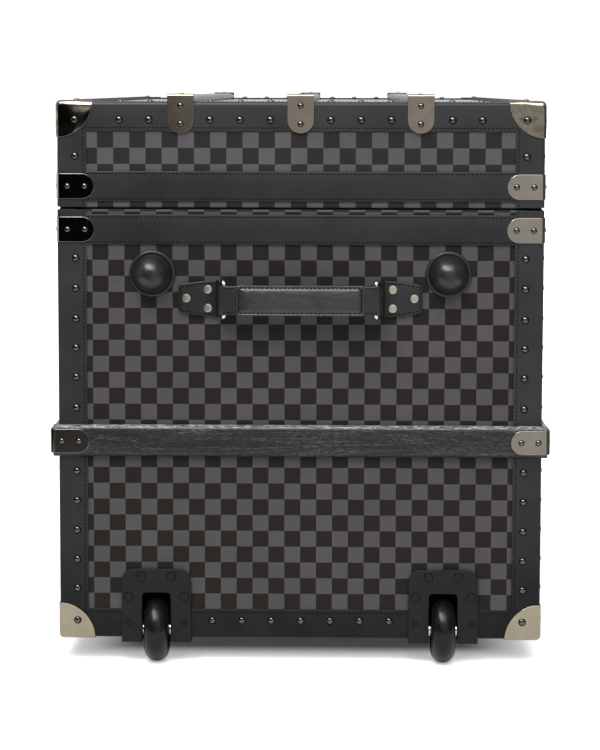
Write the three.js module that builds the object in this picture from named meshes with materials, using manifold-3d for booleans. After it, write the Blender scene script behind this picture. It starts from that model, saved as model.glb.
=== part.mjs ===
// A wheeled wardrobe trunk lying on its back with its lid on top: two plywood boxes covered in
// canvas, hinged along one long side, with stitched edge trims, leather bands, wooden slats, metal
// corner hardware, a leather handle on each end, and two wheels and four domed feet.
// Millimetres, +Z up. The origin is on the floor under the middle of the trunk. The end with the
// wheels faces -Y, the hinged long side +X and the latched long side -X.
import * as THREE from "three";
import { RoundedBoxGeometry } from "three/addons/geometries/RoundedBoxGeometry.js";
import { mergeVertices } from "three/addons/utils/BufferGeometryUtils.js";
import Module from "manifold-3d";

const wasm = await Module();
wasm.setup();

// The closed trunk, measured over its edge trims. Heights are above the trunk's bottom.
const trunkWidth = 484;
const trunkLength = 880;
const seamHeight = 434; // where the lid meets the body
const lidHeight = 106; // from the seam to the trunk's top
const trunkHeight = seamHeight + lidHeight;
const seamGap = 1;
const standHeight = 25; // feet and wheels stand this far out of the bottom and the wheeled end
const edgeRadius = 4;

// Clearances: between pieces that touch, and how far a cutter runs past what it cuts.
const seatGap = 0.3;
const overrun = 12;

// Walls: plywood with canvas glued on, and a glued lining inside.
const wallThickness = 9;
const liningThickness = 1.2;

// Rim inside the body's mouth, glued to the lining, which the lid closes over.
const rimThickness = 4;
const rimDepth = 30;
const rimRise = 8;
const rimPlay = 1;

// Edge trims, bent over every outer edge.
const trimWidth = 29;
const trimThickness = 1.2;
const trimSetback = 1; // the upright trims stop this far short of the mouth

// Leather bands on each side of the seam, with a metal bracket round each corner.
const bandProud = 0.5; // out of the trims' outer face
const bodyBandDrop = 6;
const bodyBandHeight = 30;
const lidBandRise = 7;
const lidBandHeight = 30;
const bracketThickness = 1;
const bandBracketReach = 37;
const bandBracketHeight = 25;

// Stamped corner caps.
const capReach = 36;
const capThickness = 0.9;

// Wooden slats round the body, under metal corner brackets.
const slatCentreHeight = 201.3;
const slatHeight = 32;
const slatProud = 6.6;
const slatShoulder = 5.4; // height of the rounded shoulder along each long edge
const slatCornerRadius = 5;
const slatBracketReach = 31.5;
const slatBracketHeight = 24;

// Wooden slats along the lid, with a metal clip folded over each end.
const lidSlatSideInset = 123; // from the trunk's side to the middle of the outer slats
const lidSlatWidth = 25.4;
const lidSlatProud = 6.2;
const lidSlatShoulder = 3;
const clipWidth = 26.5;
const clipDrop = 31.2; // down the end of the lid
const clipReach = 37; // back along the slat
const clipThickness = 1;

// Domed feet: two on the wheeled end and two under the far end.
const footFlangeRadius = 23;
const footFlangeHeight = 2.6;
const footFlangeEdgeShare = 0.6; // of the flange's height, up to its rounded edge
const footDomeRadius = 20.4;
const footPadRadius = 5; // the flat on which it stands
const endFootClearance = 3; // between an end foot and the handle's tab
const endFootDrop = 65; // below the seam
const baseFootInset = 70; // from the far end
const baseFootSideInset = 94.5; // from the trunk's side

// Wheels, each in a pocket of its own through the bottom edge of the near end.
const wheelSideInset = 97.6; // from the trunk's side to the middle of the wheel
const wheelRadius = 32.5;
const wheelWidth = 24.5;
const coreRadius = 19;
const coreWidth = 20;
const coreWebWidth = 8;
const bearingRadius = 11;
const coreLipWidth = 2.7;
const axleRadius = 4;
const axleHeadRadius = 6.5;
const axleHeadHeight = 3.6;
const runningGap = 0.35;
const pocketWidth = 28.6;
const pocketTop = 46.7; // above the trunk's bottom
const pocketWall = 2.5;
const pocketClearance = 4; // behind the wheel
const pocketCornerRadius = 4;
const plateWidth = 70;
const plateTop = 71;
const plateThickness = 3;
const plateCornerRadius = 12;
const soleThickness = 3.7; // the part of the housing under the trunk
const soleLength = 62;

// Leather handles: a riveted tab and a metal ring at each side, and a padded grip between them.
const handleDrop = 89.6; // its middle, below the seam
const tabOuterEdge = 121.5; // from the middle of the handle
const tabInnerEdge = 80.5;
const tabOuterHeight = 28;
const tabInnerHeight = 36.4;
const tabThickness = 3.5;
const tabFoldRadius = 3.4;
const tabCornerRadius = 3;
const ringSpacing = 75.3;
const ringHeight = 35.3;
const ringWireRadius = 2.25;
const eyeLeather = 3;
const eyePlay = 0.5;
const handleTravel = 6; // how far the grip draws out on its rings
const gripHeight = 30;
const gripLength = 125;
const gripThickness = 9;
const gripBow = 1.4; // how far its middle bows out
const strapThickness = 5;
const gripEdgeRadius = 1.6;

// Hanging rail between the long sides, near the far end.
const railInset = 62; // from the far end's inner face
const railHeight = 262;
const railRadius = 9.5;
const railFlangeRadius = 19;
const railFlangeThickness = 4;

// Piano hinge along the +X side.
const hingeLength = 650;
const hingeKnuckles = 13;
const hingeKnuckleRadius = 3.9;
const hingeKnuckleSeat = 0.2; // the knuckles clear the leaves' back by this
const hingePinRadius = 1.8;
const hingeLeafThickness = 1.4;
const hingeLeafHeight = 27;
const hingeSideGap = 0.5; // between neighbouring knuckles

// Latches on the -X side: a hasp hung from a plate on the lid drops over a case on the body.
const latchSpacing = 210; // from the middle of the side
const latchWidth = 46;
const lidPlateHeight = 24;
const lidPlateThickness = 2;
const haspWidth = 34;
const haspThickness = 1.8;
const haspKnuckleRadius = 2.4;
const haspPinRadius = 1.1;
const haspLugShare = 0.75; // of the knuckle's radius, half the height of its lugs
const haspEndShare = 0.8; // of the hasp's half width, the rounding of its free end
const haspKnuckleLength = 16;
const haspAxisRise = 10.5; // above the seam
const haspDrop = 38; // from its axis to its rounded end
const haspNoseDrop = 24; // from its axis
const haspNoseWidth = 7;
const haspNoseHeight = 5;
const haspNoseDepth = 2.6;
const haspNoseClearance = 0.8;
const caseHeight = 40;
const caseDrop = 5; // from the seam to its top
const caseThickness = 4.4;
const caseCornerRadius = 3;
const barrelRadius = 5;
const barrelDrop = 37; // from the seam
const barrelProud = 2.2; // out of the case
const keySlotWidth = 1.2;
const keySlotLength = 6.4;
const keySlotDepth = 1.2;

// How finely round forms are cut.
const roundSides = 16;
const smallSides = 8;
const wireSides = 6;
const capSides = 16;
const coreSides = 14;
const tyreSides = 24;
const tyreSteps = 6;
const domeSteps = 4;
const cornerSteps = 2; // on each eighth of a turn of a plate's corner
const gripSteps = 3;
const edgeSteps = 2;

// Derived places.
const halfWidth = trunkWidth / 2;
const halfLength = trunkLength / 2;
const lidSlatSpacing = halfWidth - lidSlatSideInset;
const endFootSpacing = tabOuterEdge + endFootClearance + footFlangeRadius;
const baseFootSpacing = halfWidth - baseFootSideInset;
const wheelSpacing = halfWidth - wheelSideInset;
const coreInset = trimThickness + seatGap; // from the trims' outer face to the canvas
const bodyMouth = seamHeight - seamGap / 2;
const lidMouth = seamHeight + seamGap / 2;
const cavityInset = coreInset + wallThickness;
const canvasHalfWidth = halfWidth - coreInset;
const canvasHalfLength = halfLength - coreInset;
const bodyBox = { bottom: 0, top: bodyMouth + coreInset };
const lidBox = { bottom: lidMouth - coreInset, top: trunkHeight };

const colour = (hex, roughness, metalness) =>
  new THREE.MeshStandardMaterial({ color: hex, roughness, metalness });
const materials = {
  canvas: () => colour(0x46434a, 0.7, 0),
  trim: () => colour(0x37393b, 0.55, 0),
  leather: () => colour(0x34373a, 0.5, 0),
  lining: () => colour(0x2a2a2e, 0.9, 0),
  wood: () => colour(0x3c4042, 0.6, 0),
  metal: () => colour(0x9a9084, 0.25, 1),
  steel: () => colour(0xb9b9b9, 0.3, 1),
  rubber: () => colour(0x222324, 0.45, 0),
  housing: () => colour(0x2c2d2e, 0.5, 0.2),
};

// A closed geometry as a solid, and a solid as a geometry.
function solid(geometry) {
  const bare = geometry.clone();
  for (const name of Object.keys(bare.attributes))
    if (name !== "position") bare.deleteAttribute(name);
  const merged = mergeVertices(bare, 1e-4);
  return new wasm.Manifold(
    new wasm.Mesh({
      numProp: 3,
      vertProperties: new Float32Array(merged.attributes.position.array),
      triVerts: new Uint32Array(merged.index.array),
    }),
  );
}
function geometryOf(made) {
  const { vertProperties, triVerts } = made.getMesh();
  const geometry = new THREE.BufferGeometry();
  geometry.setAttribute("position", new THREE.BufferAttribute(vertProperties, 3));
  geometry.setIndex(new THREE.BufferAttribute(triVerts, 1));
  geometry.computeVertexNormals();
  return geometry;
}
function addPiece(group, name, made, material) {
  const mesh = new THREE.Mesh(geometryOf(made), material());
  mesh.name = name;
  group.add(mesh);
  return mesh;
}
const join = (first, ...others) => others.reduce((sum, other) => sum.add(other), first);
const cut = (first, ...others) => others.reduce((left, other) => left.subtract(other), first);

// Blocks between two corners, square or with every edge rounded.
function block(low, high) {
  const size = high.map((value, axis) => value - low[axis]);
  const middle = high.map((value, axis) => (value + low[axis]) / 2);
  return solid(new THREE.BoxGeometry(...size).translate(...middle));
}
function roundedBlock(low, high, radius) {
  const size = high.map((value, axis) => value - low[axis]);
  const middle = high.map((value, axis) => (value + low[axis]) / 2);
  return solid(new RoundedBoxGeometry(...size, edgeSteps, radius).translate(...middle));
}
// A cylinder along an axis of the frame, centred on a point.
function rod(axis, centre, radius, length, sides = roundSides) {
  const geometry = new THREE.CylinderGeometry(radius, radius, length, sides);
  if (axis === "x") geometry.rotateZ(Math.PI / 2);
  if (axis === "z") geometry.rotateX(Math.PI / 2);
  return solid(geometry.translate(...centre));
}
// A profile of [radius, height] points turned about the +Z axis, from its foot upwards.
function turned(profile, sides = roundSides) {
  const points = profile.map(([radius, height]) => new THREE.Vector2(radius, height));
  return new THREE.LatheGeometry(points, sides).rotateX(Math.PI / 2);
}
// A flat outline in X and Z, from its middle, made into a plate between two places in Y.
function plate(shape, nearFace, farFace, bevel = 0) {
  const geometry = new THREE.ExtrudeGeometry(shape, {
    depth: farFace - nearFace - 2 * bevel,
    bevelEnabled: bevel > 0,
    bevelSize: bevel,
    bevelThickness: bevel,
    bevelOffset: -bevel,
    bevelSegments: edgeSteps,
    curveSegments: cornerSteps,
  });
  return geometry.rotateX(Math.PI / 2).translate(0, farFace - bevel, 0);
}
function roundedRectangle(left, bottom, right, top, radii) {
  const [bottomLeft, bottomRight, topRight, topLeft] = radii;
  const shape = new THREE.Shape();
  shape.moveTo(left + bottomLeft, bottom);
  shape.lineTo(right - bottomRight, bottom);
  const corner = (x, y, radius, start) => {
    if (radius) shape.absarc(x, y, radius, start, start + Math.PI / 2);
  };
  corner(right - bottomRight, bottom + bottomRight, bottomRight, -Math.PI / 2);
  shape.lineTo(right, top - topRight);
  corner(right - topRight, top - topRight, topRight, 0);
  shape.lineTo(left + topLeft, top);
  corner(left + topLeft, top - topLeft, topLeft, Math.PI / 2);
  shape.lineTo(left, bottom + bottomLeft);
  corner(left + bottomLeft, bottom + bottomLeft, bottomLeft, Math.PI);
  return shape;
}

// The skin of a box at an offset from the trims' outer face, and what lies between two offsets.
function skin(box, offset) {
  return roundedBlock(
    [-halfWidth - offset, -halfLength - offset, box.bottom - offset],
    [halfWidth + offset, halfLength + offset, box.top + offset],
    edgeRadius + offset,
  );
}
const layer = (box, inner, outer) => skin(box, outer).subtract(skin(box, inner));
// A block that crosses the whole trunk except along the axes that get limits.
function across({ x = halfWidth + overrun, y = halfLength + overrun, bottom, top }) {
  return block(
    [-x, -y, bottom ?? -overrun],
    [x, y, top ?? trunkHeight + overrun],
  );
}
const inside = (inset, bottom, top) =>
  across({ x: halfWidth - inset, y: halfLength - inset, bottom, top });

// An upright ring of metal or leather round the trunk, cut to a strip with round ends that wraps
// each corner. The strips are returned in the order of the corners.
const trunkCorners = [
  { name: "near_left", x: -1, y: -1 },
  { name: "near_right", x: 1, y: -1 },
  { name: "far_left", x: -1, y: 1 },
  { name: "far_right", x: 1, y: 1 },
];
function cornerRing(inner, outer, radius, bottom, top) {
  const wall = (offset, corner) => {
    const shape = roundedRectangle(
      -halfWidth - offset, -halfLength - offset, halfWidth + offset, halfLength + offset,
      Array(4).fill(corner),
    );
    const upright = new THREE.ExtrudeGeometry(shape, {
      depth: top - bottom, bevelEnabled: false, curveSegments: edgeSteps,
    });
    return solid(upright.translate(0, 0, bottom));
  };
  return wall(outer, radius).subtract(wall(inner, Math.max(radius - (outer - inner), 0)));
}
function cornerStrip(ring, corner, centreHeight, height, reach, depth) {
  const end = height / 2;
  const strip = roundedRectangle(0, -end, reach + overrun, end, [end, 0, 0, end]);
  const cutter = solid(plate(strip, -overrun, depth));
  const onEnd = cutter
    .scale([corner.x, -corner.y, 1])
    .translate([corner.x * (halfWidth - reach), corner.y * halfLength, centreHeight]);
  const onSide = cutter
    .rotate([0, 0, 90])
    .scale([corner.x, corner.y, 1])
    .translate([corner.x * halfWidth, corner.y * (halfLength - reach), centreHeight]);
  return ring.intersect(onEnd.add(onSide));
}

const trunk = new THREE.Group();
const body = new THREE.Group();
body.position.z = standHeight;
const lid = new THREE.Group();
body.add(lid);
trunk.add(body);

// Wheel places, one housing each side of the middle.
const wheelAxisHeight = wheelRadius - standHeight; // above the trunk's bottom
const wheelAxisInset = wheelRadius - standHeight; // from the near end
const trunkSides = [
  { name: "left", x: -1 },
  { name: "right", x: 1 },
];
const pocketBack = -halfLength + wheelAxisInset + wheelRadius + pocketClearance;
const wheelRecess = (side) => {
  const half = pocketWidth / 2 + pocketWall + axleHeadHeight + seatGap * 2;
  const middle = side.x * wheelSpacing;
  return block(
    [middle - half, -halfLength - overrun, -overrun],
    [middle + half, pocketBack + pocketWall + seatGap, pocketTop + pocketWall + seatGap],
  );
};
const wheelRecesses = trunkSides.map(wheelRecess);

// Body and lid boxes with their linings.
function buildBoxes() {
  const bodyCavity = inside(cavityInset, cavityInset, trunkHeight);
  addPiece(
    body, "body_shell",
    cut(skin(bodyBox, -coreInset), bodyCavity, ...wheelRecesses),
    materials.canvas,
  );
  const lidCavity = inside(cavityInset, 0, trunkHeight - cavityInset);
  addPiece(lid, "lid_shell", cut(skin(lidBox, -coreInset), lidCavity), materials.canvas);

  const outer = cavityInset + seatGap;
  const inner = outer + liningThickness;
  const bodyLining = cut(inside(outer, outer, bodyMouth), inside(inner, inner, trunkHeight));
  const rim = join(
    inside(outer, bodyMouth - rimDepth, bodyMouth),
    inside(inner + rimPlay, bodyMouth - rimDepth, bodyMouth + rimRise),
  );
  const rimInside = inside(inner + rimThickness, bodyMouth - rimDepth - overrun, trunkHeight);
  addPiece(
    body, "body_lining", cut(join(bodyLining, cut(rim, rimInside)), ...wheelRecesses),
    materials.lining,
  );
  const lidLining = cut(
    inside(outer, lidMouth, trunkHeight - outer),
    inside(inner, 0, trunkHeight - inner),
  );
  addPiece(lid, "lid_lining", lidLining, materials.lining);
}

// Trims bent over the edges: the outer layer with a window cut through each pair of faces.
function buildTrims() {
  const windowX = halfWidth - trimWidth;
  const windowY = halfLength - trimWidth;
  const bodyTrim = cut(
    layer(bodyBox, -coreInset + seatGap, 0),
    across({ x: windowX, bottom: trimWidth }),
    across({ y: windowY, bottom: trimWidth }),
    across({ x: windowX, y: windowY }),
    across({ bottom: bodyMouth - trimSetback }),
    ...wheelRecesses,
  );
  const betweenWheels = block(
    [-wheelSpacing, -halfLength - overrun, -overrun],
    [wheelSpacing, -halfLength + trimWidth, trimWidth],
  );
  addPiece(body, "body_edge_trim", cut(bodyTrim, betweenWheels), materials.trim);
  addPiece(body, "wheel_edge_trim", bodyTrim.intersect(betweenWheels), materials.trim);
  const lidTrimFoot = trunkHeight - trimWidth;
  const lidTrim = cut(
    layer(lidBox, -coreInset + seatGap, 0),
    across({ x: windowX, top: lidTrimFoot }),
    across({ y: windowY, top: lidTrimFoot }),
    across({ x: windowX, y: windowY }),
    across({ top: lidMouth + trimSetback }),
  );
  addPiece(lid, "lid_edge_trim", lidTrim, materials.trim);
}

// Leather bands between the upright trims, joined round each corner by riveted metal brackets.
function buildBand(group, name, bottom, height) {
  const top = bottom + height;
  const between = halfWidth - trimWidth - seatGap;
  const along = halfLength - trimWidth - seatGap;
  const leather = cornerRing(-coreInset + seatGap, bandProud, edgeRadius + bandProud, bottom, top);
  const strips = leather.intersect(
    across({ x: between, bottom, top }).add(across({ y: along, bottom, top })),
  );
  const centre = bottom + height / 2;
  const half = bandBracketHeight / 2;
  const metalFace = seatGap + bracketThickness;
  const metalRadius = edgeRadius + metalFace;
  const metal = cornerRing(seatGap, metalFace, metalRadius, centre - half, centre + half);
  const brackets = trunkCorners.map((corner) =>
    cornerStrip(metal, corner, centre, bandBracketHeight, bandBracketReach, edgeRadius * 2),
  );
  addPiece(group, name, join(strips, ...brackets), materials.leather);
}

// Slats round the body: the same barrel outline along both axes, mitred at the corners.
function slatOutline(half, centreHeight) {
  const shape = new THREE.Shape();
  const outer = half + slatProud;
  const low = centreHeight - slatHeight / 2;
  const high = centreHeight + slatHeight / 2;
  shape.moveTo(-half, low);
  shape.lineTo(half, low);
  shape.quadraticCurveTo(outer, low, outer, low + slatShoulder);
  shape.lineTo(outer, high - slatShoulder);
  shape.quadraticCurveTo(outer, high, half, high);
  shape.lineTo(-half, high);
  shape.quadraticCurveTo(-outer, high, -outer, high - slatShoulder);
  shape.lineTo(-outer, low + slatShoulder);
  shape.quadraticCurveTo(-outer, low, -half, low);
  return shape;
}
function buildSlats() {
  const reachY = halfLength + slatProud + overrun;
  const reachX = halfWidth + slatProud + overrun;
  const alongY = solid(plate(slatOutline(halfWidth, slatCentreHeight), -reachY, reachY));
  const endOutline = slatOutline(halfLength, slatCentreHeight);
  const alongX = solid(plate(endOutline, -reachX, reachX)).rotate([0, 0, 90]);
  const bottom = slatCentreHeight - slatHeight / 2 - overrun;
  const top = slatCentreHeight + slatHeight / 2 + overrun;
  const rounded = cornerRing(-wallThickness, slatProud, slatCornerRadius, bottom, top);
  const ring = alongY.intersect(alongX).intersect(rounded);
  const seated = cut(ring, skin(bodyBox, -coreInset + seatGap), cornerPosts());
  addPiece(body, "body_slats", seated, materials.wood);

  const inner = slatProud + seatGap;
  const outer = inner + bracketThickness;
  const half = slatBracketHeight / 2;
  const metal = cornerRing(
    inner, outer, slatCornerRadius + seatGap + bracketThickness,
    slatCentreHeight - half, slatCentreHeight + half,
  );
  for (const corner of trunkCorners) {
    const strip = cornerStrip(
      metal, corner, slatCentreHeight, slatBracketHeight, slatBracketReach, edgeRadius * 2,
    );
    addPiece(body, `slat_bracket_${corner.name}`, strip, materials.metal);
  }
}
// The four upright trims with their clearance, which slats are notched over.
function cornerPosts() {
  const posts = trunkCorners.map((corner) => {
    const x = [halfWidth - trimWidth - seatGap, halfWidth + seatGap].map((v) => v * corner.x);
    const y = [halfLength - trimWidth - seatGap, halfLength + seatGap].map((v) => v * corner.y);
    return block([Math.min(...x), Math.min(...y), 0], [Math.max(...x), Math.max(...y), seamHeight]);
  });
  return join(...posts);
}

// Stamped caps over the eight corners, each a ball's worth of a thin layer.
function buildCaps() {
  const round = new THREE.SphereGeometry(capReach, capSides, capSides / 2);
  const ball = solid(round.rotateX(Math.PI / 2));
  for (const corner of trunkCorners) {
    const place = (height) => ball.translate([corner.x * halfWidth, corner.y * halfLength, height]);
    const low = layer(bodyBox, seatGap, seatGap + capThickness).intersect(place(0));
    addPiece(body, `base_cap_${corner.name}`, low, materials.metal);
    const high = layer(lidBox, seatGap, seatGap + capThickness).intersect(place(trunkHeight));
    addPiece(lid, `lid_cap_${corner.name}`, high, materials.metal);
  }
}

// Slats along the lid and the clips folded over their ends.
function buildLidSlats() {
  const half = lidSlatWidth / 2;
  const top = trunkHeight + lidSlatProud;
  const shape = new THREE.Shape();
  shape.moveTo(-half, trunkHeight - coreInset);
  shape.lineTo(half, trunkHeight - coreInset);
  shape.lineTo(half, top - lidSlatShoulder);
  shape.quadraticCurveTo(half, top, half - lidSlatShoulder, top);
  shape.lineTo(-half + lidSlatShoulder, top);
  shape.quadraticCurveTo(-half, top, -half, top - lidSlatShoulder);
  const slat = solid(plate(shape, -halfLength, halfLength));
  const windowY = halfLength - trimWidth - seatGap;
  const trimTop = trunkHeight + seatGap;
  const canvasTop = trunkHeight - coreInset + seatGap;
  const seated = cut(
    slat,
    across({ top: canvasTop }),
    block([-half - overrun, -halfLength - overrun, 0], [half + overrun, -windowY, trimTop]),
    block([-half - overrun, windowY, 0], [half + overrun, halfLength + overrun, trimTop]),
  );
  const names = ["left", "middle", "right"];
  names.forEach((name, index) => {
    const x = (index - 1) * lidSlatSpacing;
    addPiece(lid, `lid_slat_${name}`, seated, materials.wood).position.x = x;
    for (const end of [{ name: "near", turn: 0 }, { name: "far", turn: Math.PI }]) {
      const clip = addPiece(lid, `slat_clip_${end.name}_${name}`, slatClip(), materials.metal);
      clip.position.x = x;
      clip.rotation.z = end.turn;
    }
  });
}
function slatClip() {
  const half = clipWidth / 2;
  const inner = -halfLength - seatGap;
  const outer = inner - clipThickness;
  const under = trunkHeight + lidSlatProud + seatGap;
  const over = under + clipThickness;
  const foot = trunkHeight - clipDrop;
  const dropShape = roundedRectangle(-half, foot, half, over, [half, half, 0, 0]);
  const down = solid(plate(dropShape, outer, inner));
  const back = new THREE.ExtrudeGeometry(
    roundedRectangle(-half, outer, half, -halfLength + clipReach, [0, 0, half, half]),
    { depth: clipThickness, bevelEnabled: false, curveSegments: cornerSteps },
  );
  return join(down, solid(back.translate(0, 0, under)));
}

// Domed rubber feet.
function footProfile() {
  const profile = [[0, 0], [footFlangeRadius, 0]];
  const flangeEdge = footFlangeHeight * footFlangeEdgeShare;
  profile.push([footFlangeRadius, flangeEdge]);
  profile.push([footFlangeRadius - (footFlangeHeight - flangeEdge), footFlangeHeight]);
  const crown = standHeight + coreInset - seatGap - footFlangeHeight;
  const steps = domeSteps;
  const padAngle = Math.acos(footPadRadius / footDomeRadius);
  for (let step = 0; step <= steps; step += 1) {
    const angle = (padAngle * step) / steps;
    profile.push([
      footDomeRadius * Math.cos(angle),
      footFlangeHeight + (crown * Math.sin(angle)) / Math.sin(padAngle),
    ]);
  }
  profile.push([0, footFlangeHeight + crown]);
  return profile;
}
function buildFeet() {
  const foot = solid(turned(footProfile()));
  for (const side of trunkSides) {
    const onEnd = addPiece(body, `end_foot_${side.name}`, foot, materials.rubber);
    onEnd.rotation.x = Math.PI / 2;
    onEnd.position.set(
      side.x * endFootSpacing, -canvasHalfLength - seatGap, seamHeight - endFootDrop,
    );
    const underBase = addPiece(body, `base_foot_${side.name}`, foot, materials.rubber);
    underBase.rotation.x = Math.PI;
    underBase.position.set(
      side.x * baseFootSpacing, halfLength - baseFootInset, coreInset - seatGap,
    );
  }
}

// Wheel housing: an end plate and a sole that share a pocket, open below and in front.
function wheelHousing() {
  const half = plateWidth / 2;
  const face = -halfLength - seatGap;
  const front = face - plateThickness;
  const sole = -seatGap - soleThickness;
  const corners = [0, 0, plateCornerRadius, plateCornerRadius];
  const plateShape = roundedRectangle(-half, sole, half, plateTop, corners);
  const endPlate = solid(plate(plateShape, front, face));
  const solePlate = new THREE.ExtrudeGeometry(
    roundedRectangle(-half, front, half, front + soleLength, corners),
    { depth: soleThickness, bevelEnabled: false, curveSegments: cornerSteps },
  );
  const pocketHalf = pocketWidth / 2;
  const wallHalf = pocketHalf + pocketWall;
  const cup = block(
    [-wallHalf, front, sole],
    [wallHalf, pocketBack + pocketWall, pocketTop + pocketWall],
  );
  const roundTop = [0, 0, pocketCornerRadius, pocketCornerRadius];
  const opening = plate(
    roundedRectangle(-pocketHalf, sole - overrun, pocketHalf, pocketTop, roundTop),
    front - overrun, pocketBack,
  );
  const axisPlace = [0, -halfLength + wheelAxisInset, wheelAxisHeight];
  const axleHole = rod("x", axisPlace, axleRadius + seatGap, plateWidth);
  return cut(
    join(endPlate, solid(solePlate.translate(0, 0, sole)), cup), solid(opening), axleHole,
  );
}
// Axle bolt, moulded wheel core with its bearings, and tyre, all turned about the axle.
function buildWheels() {
  const halfTyre = wheelWidth / 2;
  const halfCore = coreWidth / 2;
  const halfWeb = coreWebWidth / 2;
  const crownSteps = tyreSteps;
  const shoulderRadius = wheelRadius - halfTyre;
  const tyreBore = coreRadius + seatGap;
  const tyre = [[tyreBore, -halfCore], [shoulderRadius, -halfTyre]];
  for (let step = 1; step < crownSteps; step += 1) {
    const angle = (Math.PI * step) / crownSteps - Math.PI / 2;
    tyre.push([shoulderRadius + halfTyre * Math.cos(angle), halfTyre * Math.sin(angle)]);
  }
  tyre.push([shoulderRadius, halfTyre], [tyreBore, halfCore], [tyreBore, -halfCore]);
  const bore = axleRadius + runningGap;
  const bearingHalf = pocketWidth / 2 - runningGap;
  const lip = coreRadius - coreLipWidth;
  const core = [
    [bore, -bearingHalf], [axleHeadRadius, -bearingHalf], [axleHeadRadius, -halfCore],
    [bearingRadius, -halfCore], [bearingRadius, -halfWeb], [lip, -halfWeb], [lip, -halfCore],
    [coreRadius, -halfCore], [coreRadius, halfCore], [lip, halfCore], [lip, halfWeb],
    [bearingRadius, halfWeb], [bearingRadius, halfCore], [axleHeadRadius, halfCore],
    [axleHeadRadius, bearingHalf], [bore, bearingHalf], [bore, -bearingHalf],
  ];
  const headFace = pocketWidth / 2 + pocketWall + seatGap;
  const headEnd = headFace + axleHeadHeight;
  const axle = [
    [0, -headEnd], [axleHeadRadius, -headEnd], [axleHeadRadius, -headFace],
    [axleRadius, -headFace], [axleRadius, headFace], [axleHeadRadius, headFace],
    [axleHeadRadius, headEnd], [0, headEnd],
  ];
  const pieces = [
    ["wheel_tyre", tyre, materials.rubber, tyreSides],
    ["wheel_core", core, materials.housing, coreSides],
    ["wheel_axle", axle, materials.steel, smallSides],
  ];
  for (const side of trunkSides) {
    const housing = addPiece(body, `wheel_housing_${side.name}`, wheelHousing(), materials.housing);
    housing.position.x = side.x * wheelSpacing;
    for (const [name, profile, material, sides] of pieces) {
      const piece = addPiece(body, `${name}_${side.name}`, solid(turned(profile, sides)), material);
      piece.rotation.y = Math.PI / 2;
      piece.position.set(
        side.x * wheelSpacing, -halfLength + wheelAxisInset, wheelAxisHeight,
      );
    }
  }
}

// Handles. Each is built round its own middle on the canvas, facing -Y, then placed on an end.
const eyeHalf = ringWireRadius + eyePlay + eyeLeather;
const ringFront = -tabFoldRadius * 2 - seatGap * 2 - eyeHalf - handleTravel;
function handleAnchor() {
  const outline = new THREE.Shape();
  const outerHalf = tabOuterHeight / 2;
  const innerHalf = tabInnerHeight / 2;
  const waist = tabInnerEdge + (tabOuterEdge - tabInnerEdge) / 2;
  outline.moveTo(tabInnerEdge, -innerHalf);
  outline.quadraticCurveTo(waist, -innerHalf, tabOuterEdge - tabCornerRadius, -outerHalf);
  outline.quadraticCurveTo(tabOuterEdge, -outerHalf, tabOuterEdge, -outerHalf + tabCornerRadius);
  outline.lineTo(tabOuterEdge, outerHalf - tabCornerRadius);
  outline.quadraticCurveTo(tabOuterEdge, outerHalf, tabOuterEdge - tabCornerRadius, outerHalf);
  outline.quadraticCurveTo(waist, innerHalf, tabInnerEdge, innerHalf);
  const tab = solid(plate(outline, -seatGap - tabThickness, -seatGap));
  const foldX = tabInnerEdge;
  const fold = rod("z", [foldX, -seatGap - tabFoldRadius, 0], tabFoldRadius, tabInnerHeight);
  const foldY = -seatGap - tabFoldRadius;
  const half = ringHeight / 2;
  const corners = [
    [foldX, foldY, -half], [ringSpacing, ringFront, -half],
    [ringSpacing, ringFront, half], [foldX, foldY, half],
  ].map((point) => new THREE.Vector3(...point));
  const wires = corners.map((corner, index) => {
    const next = corners[(index + 1) % corners.length];
    const length = corner.distanceTo(next);
    const wire = new THREE.CylinderGeometry(ringWireRadius, ringWireRadius, length, wireSides);
    const along = new THREE.Vector3().subVectors(next, corner).normalize();
    const turn = new THREE.Quaternion().setFromUnitVectors(new THREE.Vector3(0, 1, 0), along);
    const middle = corner.clone().add(next).divideScalar(2);
    return solid(wire.applyQuaternion(turn).translate(...middle.toArray()));
  });
  const elbow = new THREE.SphereGeometry(ringWireRadius, wireSides, wireSides / 2);
  const elbows = corners.map((corner) => solid(elbow.clone().translate(...corner.toArray())));
  return join(tab, fold, ...wires, ...elbows);
}
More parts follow.
